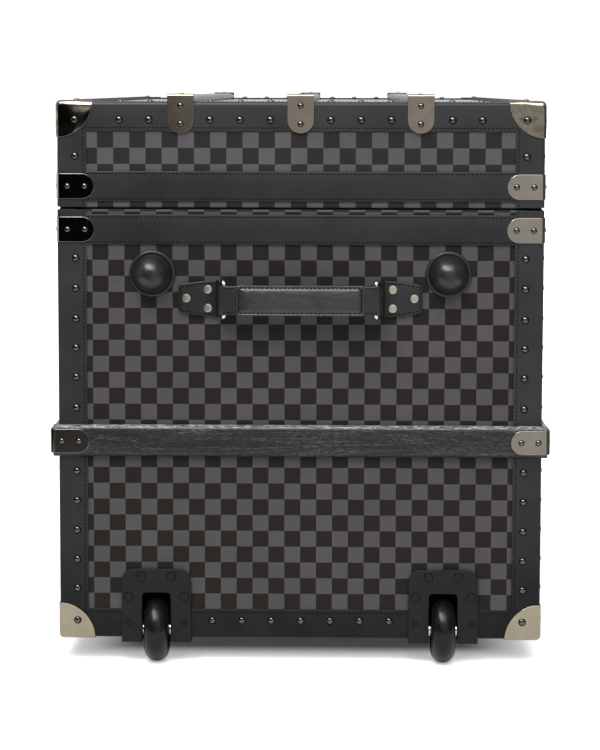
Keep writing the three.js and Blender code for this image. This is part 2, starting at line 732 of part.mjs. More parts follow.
function handleGrip() {
  const eyeFront = ringFront - eyeHalf;
  const eyeBack = ringFront + eyeHalf + handleTravel;
  const eyeOuter = ringSpacing + eyeHalf;
  const padEnd = gripLength / 2;
  const padBack = eyeFront + gripThickness;
  const crownFront = eyeFront - gripBow * 2; // a curve passes half way to its control point
  const crownBack = padBack - gripBow * 2;
  const eyeInner = ringSpacing - eyeHalf;
  const strapBack = eyeFront + strapThickness;
  const outline = new THREE.Shape();
  outline.moveTo(-padEnd, eyeFront);
  outline.quadraticCurveTo(0, crownFront, padEnd, eyeFront);
  outline.lineTo(ringSpacing, eyeFront);
  outline.quadraticCurveTo(eyeOuter, eyeFront, eyeOuter, ringFront);
  outline.lineTo(eyeOuter, eyeBack - eyeHalf);
  outline.quadraticCurveTo(eyeOuter, eyeBack, ringSpacing, eyeBack);
  outline.quadraticCurveTo(eyeInner, eyeBack, eyeInner, eyeBack - eyeHalf);
  outline.quadraticCurveTo(eyeInner, strapBack, padEnd, padBack);
  outline.quadraticCurveTo(0, crownBack, -padEnd, padBack);
  outline.quadraticCurveTo(-eyeInner, strapBack, -eyeInner, eyeBack - eyeHalf);
  outline.quadraticCurveTo(-eyeInner, eyeBack, -ringSpacing, eyeBack);
  outline.quadraticCurveTo(-eyeOuter, eyeBack, -eyeOuter, eyeBack - eyeHalf);
  outline.lineTo(-eyeOuter, ringFront);
  outline.quadraticCurveTo(-eyeOuter, eyeFront, -ringSpacing, eyeFront);
  outline.closePath();
  const slab = new THREE.ExtrudeGeometry(outline, {
    depth: gripHeight - gripEdgeRadius * 2,
    bevelEnabled: true,
    bevelSize: gripEdgeRadius,
    bevelThickness: gripEdgeRadius,
    bevelOffset: -gripEdgeRadius,
    bevelSegments: 1,
    curveSegments: gripSteps,
  }).translate(0, 0, gripEdgeRadius - gripHeight / 2);
  const holeHalf = ringWireRadius + eyePlay;
  const eyes = trunkSides.map((side) => {
    const x = side.x * ringSpacing;
    return join(
      rod("z", [x, ringFront, 0], holeHalf, ringHeight, smallSides),
      rod("z", [x, ringFront + handleTravel, 0], holeHalf, ringHeight, smallSides),
      block(
        [x - holeHalf, ringFront, -ringHeight / 2],
        [x + holeHalf, ringFront + handleTravel, ringHeight / 2],
      ),
    );
  });
  return cut(solid(slab), ...eyes);
}
function buildHandles() {
  for (const end of [{ name: "near", turn: 0 }, { name: "far", turn: Math.PI }]) {
    const handle = new THREE.Group();
    handle.rotation.z = end.turn;
    const placed = new THREE.Group();
    placed.position.set(0, -canvasHalfLength, seamHeight - handleDrop);
    handle.add(placed);
    body.add(handle);
    addPiece(placed, `${end.name}_handle_anchor_right`, handleAnchor(), materials.leather);
    const mirrored = handleAnchor().scale([-1, 1, 1]);
    addPiece(placed, `${end.name}_handle_anchor_left`, mirrored, materials.leather);
    addPiece(placed, `${end.name}_handle_grip`, handleGrip(), materials.leather);
  }
}

// A steel rail with a welded flange at each end.
function buildRail() {
  const reach = halfWidth - cavityInset - liningThickness - seatGap * 2;
  const flange = reach - railFlangeThickness;
  const rail = turned([
    [0, -reach], [railFlangeRadius, -reach], [railFlangeRadius, -flange], [railRadius, -flange],
    [railRadius, flange], [railFlangeRadius, flange], [railFlangeRadius, reach], [0, reach],
  ]);
  const piece = addPiece(body, "hanging_rail", solid(rail), materials.steel);
  piece.rotation.y = Math.PI / 2;
  piece.position.set(0, halfLength - cavityInset - railInset, railHeight);
}

// Piano hinge: alternate knuckles on the two leaves, and a pin staked in the body's leaf.
function buildHinge() {
  const leafBack = halfWidth + bandProud + seatGap;
  const leafFace = leafBack + hingeLeafThickness;
  const axis = { x: leafBack + hingeKnuckleSeat + hingeKnuckleRadius, z: seamHeight };
  const half = hingeLength / 2;
  const clear = hingeKnuckleRadius + hingeSideGap;
  const pitch = hingeLength / hingeKnuckles;
  const leaf = (up, owns) => {
    const edges = [axis.z + up * clear, axis.z + up * hingeLeafHeight];
    const low = [leafBack, -half, Math.min(...edges)];
    const parts = [block(low, [leafFace, half, Math.max(...edges)])];
    for (let index = 0; index < hingeKnuckles; index += 1) {
      if (index % 2 !== owns) continue;
      const start = -half + index * pitch + hingeSideGap / 2;
      const end = start + pitch - hingeSideGap;
      const webEdges = [axis.z, axis.z + up * (clear + hingeLeafThickness)];
      const centre = [axis.x, (start + end) / 2, axis.z];
      parts.push(
        block([leafBack, start, Math.min(...webEdges)], [leafFace, end, Math.max(...webEdges)]),
        rod("y", centre, hingeKnuckleRadius, end - start, smallSides),
      );
    }
    return join(...parts);
  };
  const pinLength = hingeLength - pitch;
  const pin = rod("y", [axis.x, 0, axis.z], hingePinRadius, pinLength, smallSides);
  addPiece(body, "hinge_body_leaf", join(leaf(-1, 0), pin), materials.metal);
  const boreRadius = hingePinRadius + seatGap;
  const bore = rod("y", [axis.x, 0, axis.z], boreRadius, hingeLength + overrun, smallSides);
  addPiece(lid, "hinge_lid_leaf", cut(leaf(1, 1), bore), materials.metal);
}

// Latches, built for the middle of the -X side and moved along it.
function buildLatches() {
  const back = -halfWidth - bandProud - seatGap;
  const halfPlate = latchWidth / 2;
  const axisHeight = seamHeight + haspAxisRise;
  const plateFace = back - lidPlateThickness;
  const caseFace = back - caseThickness;
  const haspBack = caseFace - seatGap;
  const haspFace = haspBack - haspThickness;
  const axisX = haspBack - haspThickness / 2;
  const onSide = (shape, outer, inner) =>
    solid(plate(shape, outer, inner)).rotate([0, 0, -90]).scale([1, -1, 1]);
  const plateFoot = axisHeight + haspKnuckleRadius + seatGap;
  const corner = Array(4).fill(caseCornerRadius);
  const lug = haspKnuckleRadius * haspLugShare;
  const plateShape = roundedRectangle(
    -halfPlate, plateFoot - lug, halfPlate, plateFoot + lidPlateHeight,
    [0, 0, caseCornerRadius, caseCornerRadius],
  );
  const lidPlate = onSide(plateShape, plateFace, back);
  const halfKnuckle = haspKnuckleLength / 2 + seatGap;
  const lugs = [-1, 1].map((end) => {
    const inner = end * halfKnuckle;
    const outer = end * haspWidth / 2;
    const middle = (inner + outer) / 2;
    const length = Math.abs(outer - inner);
    return join(
      rod("y", [axisX, middle, axisHeight], haspKnuckleRadius, length, smallSides),
      block(
        [axisX, Math.min(inner, outer), axisHeight - lug],
        [back, Math.max(inner, outer), axisHeight + lug],
      ),
    );
  });
  const slotForKnuckle = block(
    [plateFace - overrun, -halfKnuckle, axisHeight - haspKnuckleRadius - overrun],
    [back + overrun, halfKnuckle, axisHeight + haspKnuckleRadius + seatGap],
  );
  const haspPin = rod("y", [axisX, 0, axisHeight], haspPinRadius, haspWidth, smallSides);
  const lidPart = join(cut(join(lidPlate, ...lugs), slotForKnuckle), haspPin);

  const halfHasp = haspWidth / 2;
  const haspFoot = axisHeight - haspDrop;
  const endRound = halfHasp * haspEndShare;
  const flapShape = roundedRectangle(
    -halfHasp, haspFoot, halfHasp, axisHeight - haspKnuckleRadius - seatGap,
    [endRound, endRound, 0, 0],
  );
  const flap = onSide(flapShape, haspFace, haspBack);
  const neck = block(
    [haspFace, -haspKnuckleLength / 2, axisHeight - haspKnuckleRadius * 2],
    [haspBack, haspKnuckleLength / 2, axisHeight],
  );
  const knuckle = rod("y", [axisX, 0, axisHeight], haspKnuckleRadius, haspKnuckleLength, smallSides);
  const noseHeight = axisHeight - haspNoseDrop;
  const nose = block(
    [haspBack - haspThickness / 2, -haspNoseWidth / 2, noseHeight],
    [haspBack + haspNoseDepth, haspNoseWidth / 2, noseHeight + haspNoseHeight],
  );
  const boreRadius = haspPinRadius + seatGap;
  const haspBore = rod("y", [axisX, 0, axisHeight], boreRadius, haspWidth, smallSides);
  const hasp = cut(join(flap, neck, knuckle, nose), haspBore);

  const caseTop = seamHeight - caseDrop;
  const channelHalf = haspNoseWidth / 2 + haspNoseClearance;
  const channel = block(
    [caseFace - overrun, -channelHalf, noseHeight - haspNoseClearance],
    [caseFace + haspNoseDepth + haspNoseClearance, channelHalf, caseTop + overrun],
  );
  const barrelHeight = seamHeight - barrelDrop;
  const barrelHole = rod("x", [caseFace, 0, barrelHeight], barrelRadius + seatGap, caseThickness);
  const caseShape = roundedRectangle(-halfPlate, caseTop - caseHeight, halfPlate, caseTop, corner);
  const latchCase = cut(onSide(caseShape, caseFace, back), channel, barrelHole);
  const barrelBack = caseFace + caseThickness / 2 - seatGap;
  const barrelFace = caseFace - barrelProud;
  const barrel = cut(
    rod("x", [(barrelBack + barrelFace) / 2, 0, barrelHeight], barrelRadius, barrelBack - barrelFace),
    block(
      [barrelFace - overrun, -keySlotWidth / 2, barrelHeight - keySlotLength / 2],
      [barrelFace + keySlotDepth, keySlotWidth / 2, barrelHeight + keySlotLength / 2],
    ),
  );
  for (const end of [{ name: "near", y: -1 }, { name: "far", y: 1 }]) {
    const y = end.y * latchSpacing;
    addPiece(body, `latch_case_${end.name}`, latchCase, materials.metal).position.y = y;
    addPiece(body, `latch_barrel_${end.name}`, barrel, materials.steel).position.y = y;
    addPiece(lid, `latch_plate_${end.name}`, lidPart, materials.metal).position.y = y;
    addPiece(lid, `latch_hasp_${end.name}`, hasp, materials.metal).position.y = y;
  }
}

buildBoxes();
buildTrims();
buildBand(body, "body_band", seamHeight - bodyBandDrop - bodyBandHeight, bodyBandHeight);
buildBand(lid, "lid_band", seamHeight + lidBandRise, lidBandHeight);
buildSlats();
buildCaps();
buildLidSlats();
buildFeet();
buildWheels();
buildHandles();
buildRail();
buildHinge();
buildLatches();

export default trunk;
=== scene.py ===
import math
import random

import bmesh
import bpy
from mathutils import Matrix, Vector


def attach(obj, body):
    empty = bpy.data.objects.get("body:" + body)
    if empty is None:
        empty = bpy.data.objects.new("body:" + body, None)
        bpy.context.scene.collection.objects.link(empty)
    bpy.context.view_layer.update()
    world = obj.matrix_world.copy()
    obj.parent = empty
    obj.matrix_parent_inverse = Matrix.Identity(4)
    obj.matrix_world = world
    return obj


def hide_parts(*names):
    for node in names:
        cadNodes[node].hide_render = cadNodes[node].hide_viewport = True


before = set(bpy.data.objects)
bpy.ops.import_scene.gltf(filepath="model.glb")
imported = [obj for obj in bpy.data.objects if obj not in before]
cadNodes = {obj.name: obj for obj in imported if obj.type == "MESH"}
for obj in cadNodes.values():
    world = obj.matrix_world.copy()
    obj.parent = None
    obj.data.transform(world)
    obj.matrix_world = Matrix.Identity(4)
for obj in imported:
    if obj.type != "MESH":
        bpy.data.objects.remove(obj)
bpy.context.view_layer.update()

random.seed(7)

# A wardrobe trunk lying on its back. Lengths are millimetres in the frame's own axes.
mm = 0.001
trunk = {
    "halfWidth": 242, "halfLength": 440, "bottom": 25, "seam": 459, "top": 565,
    "edgeRadius": 4, "mouthGap": 1.5, "trimWidth": 29,
}
halfWidth, halfLength = trunk["halfWidth"], trunk["halfLength"]
bottom, seam, top = trunk["bottom"], trunk["seam"], trunk["top"]
parts, sides = ("body", "lid"), (-1, 1)


def turned(axis, degrees):
    return Matrix.Rotation(math.radians(degrees), 4, axis)


def moved(x, y, z):
    return Matrix.Translation((x, y, z))


def mirrored(x=1, y=1, z=1):
    return Matrix.Diagonal((x, y, z, 1))


# Each face of the trunk has its own flat frame: across, up, and out of the face.
def faceFrame(across, up, out, origin):
    return Matrix.Translation(origin) @ Matrix((across, up, out)).transposed().to_4x4()


faces = {
    "near": faceFrame((1, 0, 0), (0, 0, 1), (0, -1, 0), (0, -halfLength, 0)),
    "far": faceFrame((-1, 0, 0), (0, 0, 1), (0, 1, 0), (0, halfLength, 0)),
    "left": faceFrame((0, -1, 0), (0, 0, 1), (-1, 0, 0), (-halfWidth, 0, 0)),
    "right": faceFrame((0, 1, 0), (0, 0, 1), (1, 0, 0), (halfWidth, 0, 0)),
    "top": faceFrame((1, 0, 0), (0, 1, 0), (0, 0, 1), (0, 0, top)),
    "bottom": faceFrame((1, 0, 0), (0, -1, 0), (0, 0, -1), (0, 0, bottom)),
}
flatFaces = {"body": faces["bottom"], "lid": faces["top"]}
ends = ("near", "far")
corners = [(x, y) for y in sides for x in sides]
cornerNames = [end + "_" + side for end in ends for side in ("left", "right")]
# Half of each wall's length.
walls = {"near": halfWidth, "far": halfWidth, "left": halfLength, "right": halfLength}


# Each of these adds nodes to a finish and gives back the socket to go on from.
def startFinish(name):
    finish = bpy.data.materials.new(name)
    finish.use_nodes = True
    return finish, finish.node_tree, finish.node_tree.nodes["Principled BSDF"]


def setInputs(node, **values):
    for name, value in values.items():
        socket = node.inputs[name.replace("_", " ")]
        if isinstance(value, bpy.types.NodeSocket):
            node.id_data.links.new(value, socket)
        else:
            socket.default_value = value


def addNode(tree, kind, settings=None, **values):
    node = tree.nodes.new("ShaderNode" + kind)
    for name, value in (settings or {}).items():
        setattr(node, name, value)
    setInputs(node, **values)
    return node


def objectPoint(tree, stretch=None):
    point = addNode(tree, "TexCoord").outputs["Object"]
    return addNode(tree, "Mapping", Vector=point, Scale=stretch).outputs[0] if stretch else point


def along(tree, vector, axis):
    return addNode(tree, "SeparateXYZ", Vector=vector).outputs[axis]


def noiseOf(tree, point, scale, detail=3, roughness=0.5, distortion=0):
    return addNode(tree, "TexNoise", Vector=point, Scale=scale, Detail=detail,
                   Roughness=roughness, Distortion=distortion).outputs["Fac"]


def mapped(tree, value, fromLow=0.0, fromHigh=1.0, low=0.0, high=1.0, smooth=False):
    settings = {"interpolation_type": "SMOOTHSTEP"} if smooth else None
    return addNode(tree, "MapRange", settings, Value=value, From_Min=fromLow, From_Max=fromHigh,
                   To_Min=low, To_Max=high).outputs[0]


def facingUp(tree, *span, **more):
    return mapped(tree, along(tree, addNode(tree, "TexCoord").outputs["Normal"], "Z"), *span, **more)


def absolute(tree, value):
    return addNode(tree, "Math", {"operation": "ABSOLUTE"}, Value=value).outputs[0]


def rampOf(tree, value, *stops):
    # Each stop is a place and a grey level.
    ramp = addNode(tree, "ValToRGB", Fac=value)
    elements = ramp.color_ramp.elements
    while len(elements) < len(stops):
        elements.new(0.5)
    for element, (place, level) in zip(elements, stops):
        element.position, element.color = place, (level, level, level, 1)
    return ramp.outputs["Color"]


def mixOf(tree, share, first, second, blend="MIX"):
    mix = addNode(tree, "Mix", {"data_type": "RGBA", "blend_type": blend})
    for socket, value in zip((mix.inputs[0], mix.inputs[6], mix.inputs[7]), (share, first, second)):
        if isinstance(value, bpy.types.NodeSocket):
            tree.links.new(value, socket)
        else:
            socket.default_value = (*value, 1) if isinstance(value, tuple) else value
    return mix.outputs[2]


def multiplied(tree, first, second):
    return mixOf(tree, 1.0, first, second, "MULTIPLY")


def mottled(tree, tone, noise, *stops):
    return multiplied(tree, tone, rampOf(tree, noise, *stops))


def bumpOf(tree, height, strength, depth, normal=None):
    bump = addNode(tree, "Bump", Height=height, Strength=strength, Distance=depth * mm)
    if normal:
        tree.links.new(normal, bump.inputs["Normal"])
    return bump.outputs[0]


canvas = {
    "depthSquare": 16, "wobble": 0.4, "coat": 0.12,
    "body": {"square": (15.98, 16.06), "corner": (-207.15, 407.8),
             "light": (0.0490, 0.0462, 0.0498), "dark": (0.0086, 0.0069, 0.0048)},
    "lid": {"square": (16.05, 16.1), "corner": (-201.9, 519.4),
            "light": (0.0590, 0.0562, 0.0592), "dark": (0.0132, 0.0120, 0.0112)},
}


def chequeredCanvas(part):
    # Squares are laid on the trunk's three axes, with each outer face in the middle of a square.
    layout = canvas[part]
    finish, tree, shader = startFinish(part + "ChequeredCanvas")
    square = (layout["square"][0], canvas["depthSquare"], layout["square"][1])
    corner = (layout["corner"][0], -halfLength - canvas["depthSquare"] / 2, layout["corner"][1])
    point = objectPoint(tree)
    wobble = addNode(tree, "TexNoise", Vector=point, Scale=90, Detail=1)
    shift = addNode(tree, "VectorMath", {"operation": "MULTIPLY_ADD"})
    tree.links.new(wobble.outputs["Color"], shift.inputs[0])
    shift.inputs[1].default_value = [canvas["wobble"] * mm] * 3
    tree.links.new(point, shift.inputs[2])
    squares = addNode(tree, "Mapping", Vector=shift.outputs[0], Scale=[1 / (side * mm) for side in square],
                      Location=[-at / side for at, side in zip(corner, square)])
    chequer = addNode(tree, "TexChecker", Vector=squares.outputs[0], Scale=1,
                      Color1=(1, 1, 1, 1), Color2=(0, 0, 0, 1))
    printed = mixOf(tree, chequer.outputs["Fac"], layout["dark"], layout["light"])
    speck = noiseOf(tree, point, 1500, 2, 0.6)
    faded = mottled(tree, printed, noiseOf(tree, point, 14, 4, 0.6), (0.3, 0.88), (0.7, 1.12))
    weave = addNode(tree, "TexWave", {"wave_type": "BANDS", "bands_direction": "DIAGONAL"},
                    Vector=point, Scale=420, Distortion=1.5, Detail=1)
    raised = bumpOf(tree, speck, 0.35, 0.12)
    setInputs(shader, Base_Color=mottled(tree, faded, speck, (0.35, 0.8), (0.65, 1.22)), Roughness=0.6,
              Specular_IOR_Level=0.12, Normal=bumpOf(tree, weave.outputs["Fac"], 0.2, 0.08, raised))
    if part == "lid":  # The top's coating is worn smooth: seen from low down it shines white, as in the photo.
        setInputs(shader, Coat_Weight=facingUp(tree, 0.8), Coat_Roughness=canvas["coat"])
    return finish


def leather(name, tone, roughness, pebble, wear=0.25, polish=0.2, paintedShadeBelow=False, wrinkle=0, fold=None):
    finish, tree, shader = startFinish(name)
    point = objectPoint(tree)
    cells = addNode(tree, "TexVoronoi", {"feature": "DISTANCE_TO_EDGE"}, Vector=point, Scale=pebble)
    crease = rampOf(tree, cells.outputs["Distance"], (0.0, 0), (0.25, 1))
    cloud = noiseOf(tree, point, 22, 4, 0.6)
    base = mottled(tree, tone, cloud, (0.35, 1 - wear), (0.7, 1 + wear))
    gloss = 0.2
    if paintedShadeBelow:
        # Painted shade: the base colour is darker towards the bottom, and gloss and coat are weaker there; the coat
        # is stronger on faces that point up.
        height = along(tree, point, "Z")
        low, gloss, polish = (mapped(tree, height, 0.02, 0.26, share * clean, clean, smooth=True)
                              for clean, share in ((1.0, 0.66), (gloss, 0.3), (polish, 0.3)))
        base = multiplied(tree, base, low)
        polish = facingUp(tree, 0.8, 1.0, polish, 0.9)
    if fold:
        # Painted shade: the tab is darker near its fold round the ring, where the grip's end shades it.
        away = absolute(tree, along(tree, point, "X"))
        base = multiplied(tree, base, mapped(tree, away, fold[0] * mm, fold[1] * mm, 0.3))
    creased = bumpOf(tree, noiseOf(tree, point, 2600, 2), 0.12, 0.05)
    if wrinkle:
        folds = noiseOf(tree, objectPoint(tree, (0.35, 1, 1)), 210, 4, 0.6, 0.8)
        creased = bumpOf(tree, folds, 0.8, wrinkle, creased)
    setInputs(shader, Base_Color=base, Roughness=mapped(tree, cloud, 0, 1, roughness - 0.06, roughness + 0.08),
              Specular_IOR_Level=gloss, Coat_Weight=polish, Coat_Roughness=0.16,
              Normal=bumpOf(tree, crease, 0.16, 0.1, creased))
    return finish


def openGrainWood(name, grainAxis, lacquer=0.2):
    # Black stained wood whose long pores catch the light.
    finish, tree, shader = startFinish(name)
    stretch = [1, 1, 1]
    stretch["xy".index(grainAxis)] = 0.055
    figure = noiseOf(tree, objectPoint(tree, stretch), 55, 5, 0.55, 1.2)
    spread, rings = (addNode(tree, "Math", {"operation": kind}) for kind in ("MULTIPLY", "SINE"))
    tree.links.new(figure, spread.inputs[0])
    spread.inputs[1].default_value = 46
    tree.links.new(spread.outputs[0], rings.inputs[0])
    band = rampOf(tree, rings.outputs[0], (0.35, 0), (0.95, 1))
    short = objectPoint(tree, [min(1, 3.2 * share) for share in stretch])
    pores = rampOf(tree, noiseOf(tree, short, 1300, 5, 0.75), (0.45, 0), (0.62, 1))
    patch = rampOf(tree, noiseOf(tree, short, 60), (0.35, 0.1), (0.65, 1))
    grain = multiplied(tree, mixOf(tree, 0.45, band, patch), pores)
    tone = mixOf(tree, grain, (0.0048, 0.0050, 0.0053), (0.072, 0.075, 0.078))
    # Where the wood turns up, pale grey dashes are mixed in: partly rubbed-through stain, partly a painted sheen of
    # light from above.
    wearAndPaintedSheen = rampOf(tree, noiseOf(tree, short, 700, 5, 0.85), (0.47, 0.02), (0.63, 1))
    wearAndPaintedSheen = multiplied(tree, wearAndPaintedSheen, facingUp(tree, 0.3, 0.85, smooth=True))
    setInputs(shader, Base_Color=mixOf(tree, wearAndPaintedSheen, tone, (0.48, 0.5, 0.51)), Roughness=0.46,
              Specular_IOR_Level=0.2, Coat_Weight=lacquer, Coat_Roughness=0.2,
              Normal=bumpOf(tree, pores, 0.5, 0.2))
    return finish


def plated(name, tone, roughness, wave=(18, 0.05, 0.6, 0), paintedReflectionStreaks=False):
    # The wave is a bump's noise scale, strength, depth and detail.
    finish, tree, shader = startFinish(name)
    point = objectPoint(tree)
    smear = noiseOf(tree, point, 70, 2)
    tint = mottled(tree, tone, smear, (0.3, 0.92), (0.75, 1.06))
    if paintedReflectionStreaks:  # The lid caps are drawn unevenly; their broad olive and cream streaks are painted reflection in the colour.
        reflectionStreakNoise = noiseOf(tree, point, 30, 1, 0.4, 2.2)
        tint = mottled(tree, tint, reflectionStreakNoise, (0.36, 0.62), (0.47, 1), (0.55, 0.8), (0.66, 1.45))
    scale, strength, depth, detail = wave
    gloss = mapped(tree, smear, 0, 1, roughness - 0.02, roughness + 0.02)
    setInputs(shader, Base_Color=tint, Metallic=1.0, Roughness=gloss,
              Normal=bumpOf(tree, noiseOf(tree, point, scale, detail), strength, depth))
    return finish


def moulded(name, tone, roughness, grain, specular=0.5):
    finish, tree, shader = startFinish(name)
    point = objectPoint(tree)
    dust = noiseOf(tree, point, 30, 4, 0.6)
    setInputs(shader, Base_Color=mottled(tree, tone, dust, (0.3, 0.9), (0.75, 1.15)),
              Roughness=mapped(tree, dust, 0, 1, roughness - 0.05, roughness + 0.07),
              Specular_IOR_Level=specular,
              Normal=bumpOf(tree, noiseOf(tree, point, 1300, 2, 0.6), grain, 0.06))
    return finish


def wovenLining(name, tone):
    finish, tree, shader = startFinish(name)
    point = objectPoint(tree)
    height = None
    for direction in "XYZ":
        rib = addNode(tree, "TexWave", {"bands_direction": direction}, Vector=point, Scale=330, Distortion=0.6)
        height = rib.outputs["Fac"] if height is None else mixOf(tree, 0.5, height, rib.outputs["Fac"])
    fuzz = noiseOf(tree, point, 240, 4, 0.7)
    setInputs(shader, Base_Color=mottled(tree, tone, fuzz, (0.3, 0.8), (0.7, 1.2)), Roughness=0.92,
              Sheen_Weight=0.3, Specular_IOR_Level=0.2, Normal=bumpOf(tree, height, 0.4, 0.2))
    return finish


bodyCanvas, lidCanvas = chequeredCanvas("body"), chequeredCanvas("lid")
# The trims' leather is painted darker towards the bottom, as shade.
trimLeather = leather("trimLeather", (0.0142, 0.0146, 0.0155), 0.52, 1100, polish=0.12, paintedShadeBelow=True)
bandLeather = leather("bandLeather", (0.0106, 0.0109, 0.0116), 0.5, 1100, polish=0.15)
handleLeather = leather("handleLeather", (0.0125, 0.0130, 0.0135), 0.42, 800)
# The tabs' leather is painted darker near the fold, as shade.
tabLeather = leather("tabLeather", (0.0125, 0.0130, 0.0135), 0.42, 800, fold=(84, 97))
gripLeather = leather("gripLeather", (0.0165, 0.0178, 0.0185), 0.34, 700, 0.35, 0.5, wrinkle=1.6)
# This near-black finish serves the stitches and also the rings of painted shade round nails, rivets and screws.
blackThreadAndShade = moulded("waxedThreadAndPaintedShade", (0.0012, 0.0012, 0.0013), 0.7, 0.5, 0.08)
sealAndSeamShade = moulded("blackSealAndSeamShade", (0.0014, 0.0014, 0.0015), 0.9, 0.6, 0.05)
slatWoodX, slatWoodY = openGrainWood("endSlatWood", "x"), openGrainWood("sideSlatWood", "y")
lidSlatWood = openGrainWood("lidSlatWood", "y", 0.65)
nickel = plated("polishedNickel", (0.335, 0.305, 0.270), 0.09)
capNickel = plated("pressedCapNickel", (0.272, 0.243, 0.180), 0.12, (26, 0.45, 2.5, 2))
# The lid caps' colour carries streaks of painted reflection.
lidCapNickel = plated("dentedCapNickel", (0.272, 0.250, 0.196), 0.14, (46, 1.0, 5, 0), True)
clipNickel = plated("brushedClipNickel", (0.26, 0.225, 0.185), 0.25)
nailMetal = plated("darkNailHead", (0.095, 0.091, 0.085), 0.13)
rivetMetal = plated("paleRivetHead", (0.46, 0.42, 0.355), 0.33)
ringMetal = plated("brightRingWire", (0.62, 0.62, 0.61), 0.14)
bracketRivet = plated("bracketRivetHead", (0.13, 0.112, 0.095), 0.14)
steel = plated("brushedSteel", (0.5, 0.5, 0.51), 0.28)
footRubber = moulded("satinFootRubber", (0.0095, 0.0100, 0.0102), 0.32, 0.12, 0.4)
tyreRubber = moulded("smoothTyreRubber", (0.0038, 0.0038, 0.0041), 0.25, 0.06, 0.22)
housingPlastic = moulded("paintedHousing", (0.0056, 0.0057, 0.0060), 0.5, 0.3, 0.18)
screwBlack = moulded("blackScrewHead", (0.0052, 0.0052, 0.0056), 0.4, 0.1, 0.2)
hubPlastic = moulded("wheelHubPlastic", (0.03, 0.03, 0.032), 0.45, 0.2)
lining = wovenLining("wovenLining", (0.022, 0.022, 0.026))
print("finishes ready")


# Samples are small meshes that pieces are put together from.
def addBox(bm, low, high):
    verts = bmesh.ops.create_cube(bm, size=1)["verts"]
    bmesh.ops.scale(bm, vec=[b - a for a, b in zip(low, high)], verts=verts)
    bmesh.ops.translate(bm, vec=[(a + b) / 2 for a, b in zip(low, high)], verts=verts)


def addRod(bm, radius, length, middle, steps, upright=False):
    # A round rod along Y, or along Z where it is upright.
    verts = bmesh.ops.create_cone(bm, cap_ends=True, segments=steps, radius1=radius, radius2=radius,
                                  depth=length)["verts"]
    if not upright:
        bmesh.ops.rotate(bm, cent=(0, 0, 0), matrix=Matrix.Rotation(math.pi / 2, 3, "X"), verts=verts)
    bmesh.ops.translate(bm, vec=middle, verts=verts)


def edgesWhere(bm, test):
    # The test sees each edge's middle and its direction.
    chosen = []
    for edge in bm.edges:
        start, end = (vert.co for vert in edge.verts)
        if test((start + end) / 2, (end - start).normalized()):
            chosen.append(edge)
    return chosen


def roundOff(bm, edges, radius, segments=3):
    bmesh.ops.bevel(bm, geom=edges, offset=radius, segments=segments, profile=0.5,
                    affect="EDGES", material=-1, clamp_overlap=True)


def cutAcross(bm, axis, cuts):
    edges = edgesWhere(bm, lambda middle, way: abs(way[axis]) > 0.9)
    bmesh.ops.subdivide_edges(bm, edges=edges, cuts=cuts)


def vertsOf(geometry):
    return [item for item in geometry if isinstance(item, bmesh.types.BMVert)]


def edgesOf(geometry):
    return [item for item in geometry if isinstance(item, bmesh.types.BMEdge)]


def faceOutwards(bm, inside):
    # Faces that look towards the inside are all turned over.
    bmesh.ops.recalc_face_normals(bm, faces=bm.faces)
    if sum(face.normal.dot(face.calc_center_median() - Vector(inside)) for face in bm.faces) < 0:
        bmesh.ops.reverse_faces(bm, faces=bm.faces)


def meshFrom(bm, name="sample", scale=1):
    bmesh.ops.remove_doubles(bm, verts=bm.verts, dist=0.003)
    bmesh.ops.recalc_face_normals(bm, faces=bm.faces)
    bmesh.ops.scale(bm, vec=(scale, scale, scale), verts=bm.verts)
    mesh = bpy.data.meshes.new(name)
    bm.to_mesh(mesh)
    bm.free()
    return mesh


def addCopies(bm, sample, places):
    for place in places:
        copy = sample.copy()
        copy.transform(place)
        bm.from_mesh(copy)
        bpy.data.meshes.remove(copy)


def spunSample(profile, steps):
    # A profile of (radius, height) turned about the +Z axis.
    bm = bmesh.new()
    verts = [bm.verts.new((radius, 0, height)) for radius, height in profile]
    edges = [bm.edges.new(pair) for pair in zip(verts, verts[1:])]
    bmesh.ops.spin(bm, geom=verts + edges, cent=(0, 0, 0), axis=(0, 0, 1), dvec=(0, 0, 0),
                   angle=math.tau, steps=steps, use_merge=True, use_duplicate=False)
    return meshFrom(bm)


def domeSample(radius, height, steps=12, rings=4, foot=0.0):
    # A round head, sunk a little into what it sits on, with an upright foot under its dome.
    profile = [(radius, -0.2)]
    if foot:
        profile.append((radius, foot))
    for ring in range(rings):
        angle = math.pi / 2 * ring / rings
        profile.append((radius * math.cos(angle), foot + (height - foot) * math.sin(angle)))
    return spunSample(profile + [(0, height)], steps)


def addObject(name, data):
    thing = bpy.data.objects.new(name, data)
    bpy.context.scene.collection.objects.link(thing)
    return thing


def finishPiece(name, bm, finishes, body, slot, stands=(), soften=0, segments=2, sharp=38):
    mesh = meshFrom(bm, name, mm)
    mesh.shade_smooth()
    mesh.set_sharp_from_angle(angle=math.radians(sharp))
    for finish in finishes if isinstance(finishes, list) else [finishes]:
        mesh.materials.append(finish)
    piece = addObject(name, mesh)
    if soften:
        softer = piece.modifiers.new("softEdges", "BEVEL")
        softer.width, softer.segments = soften * mm, segments
        softer.limit_method, softer.angle_limit = "ANGLE", math.radians(50)
        softer.harden_normals = True
    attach(piece, body)
    if stands:
        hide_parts(*stands)
    return piece


def placePiece(name, copies, *rest, **more):
    # Copies are pairs of a sample and the places that it goes to.
    bm = bmesh.new()
    for sample, places in copies:
        addCopies(bm, sample, places)
    return finishPiece(name, bm, *rest, **more)


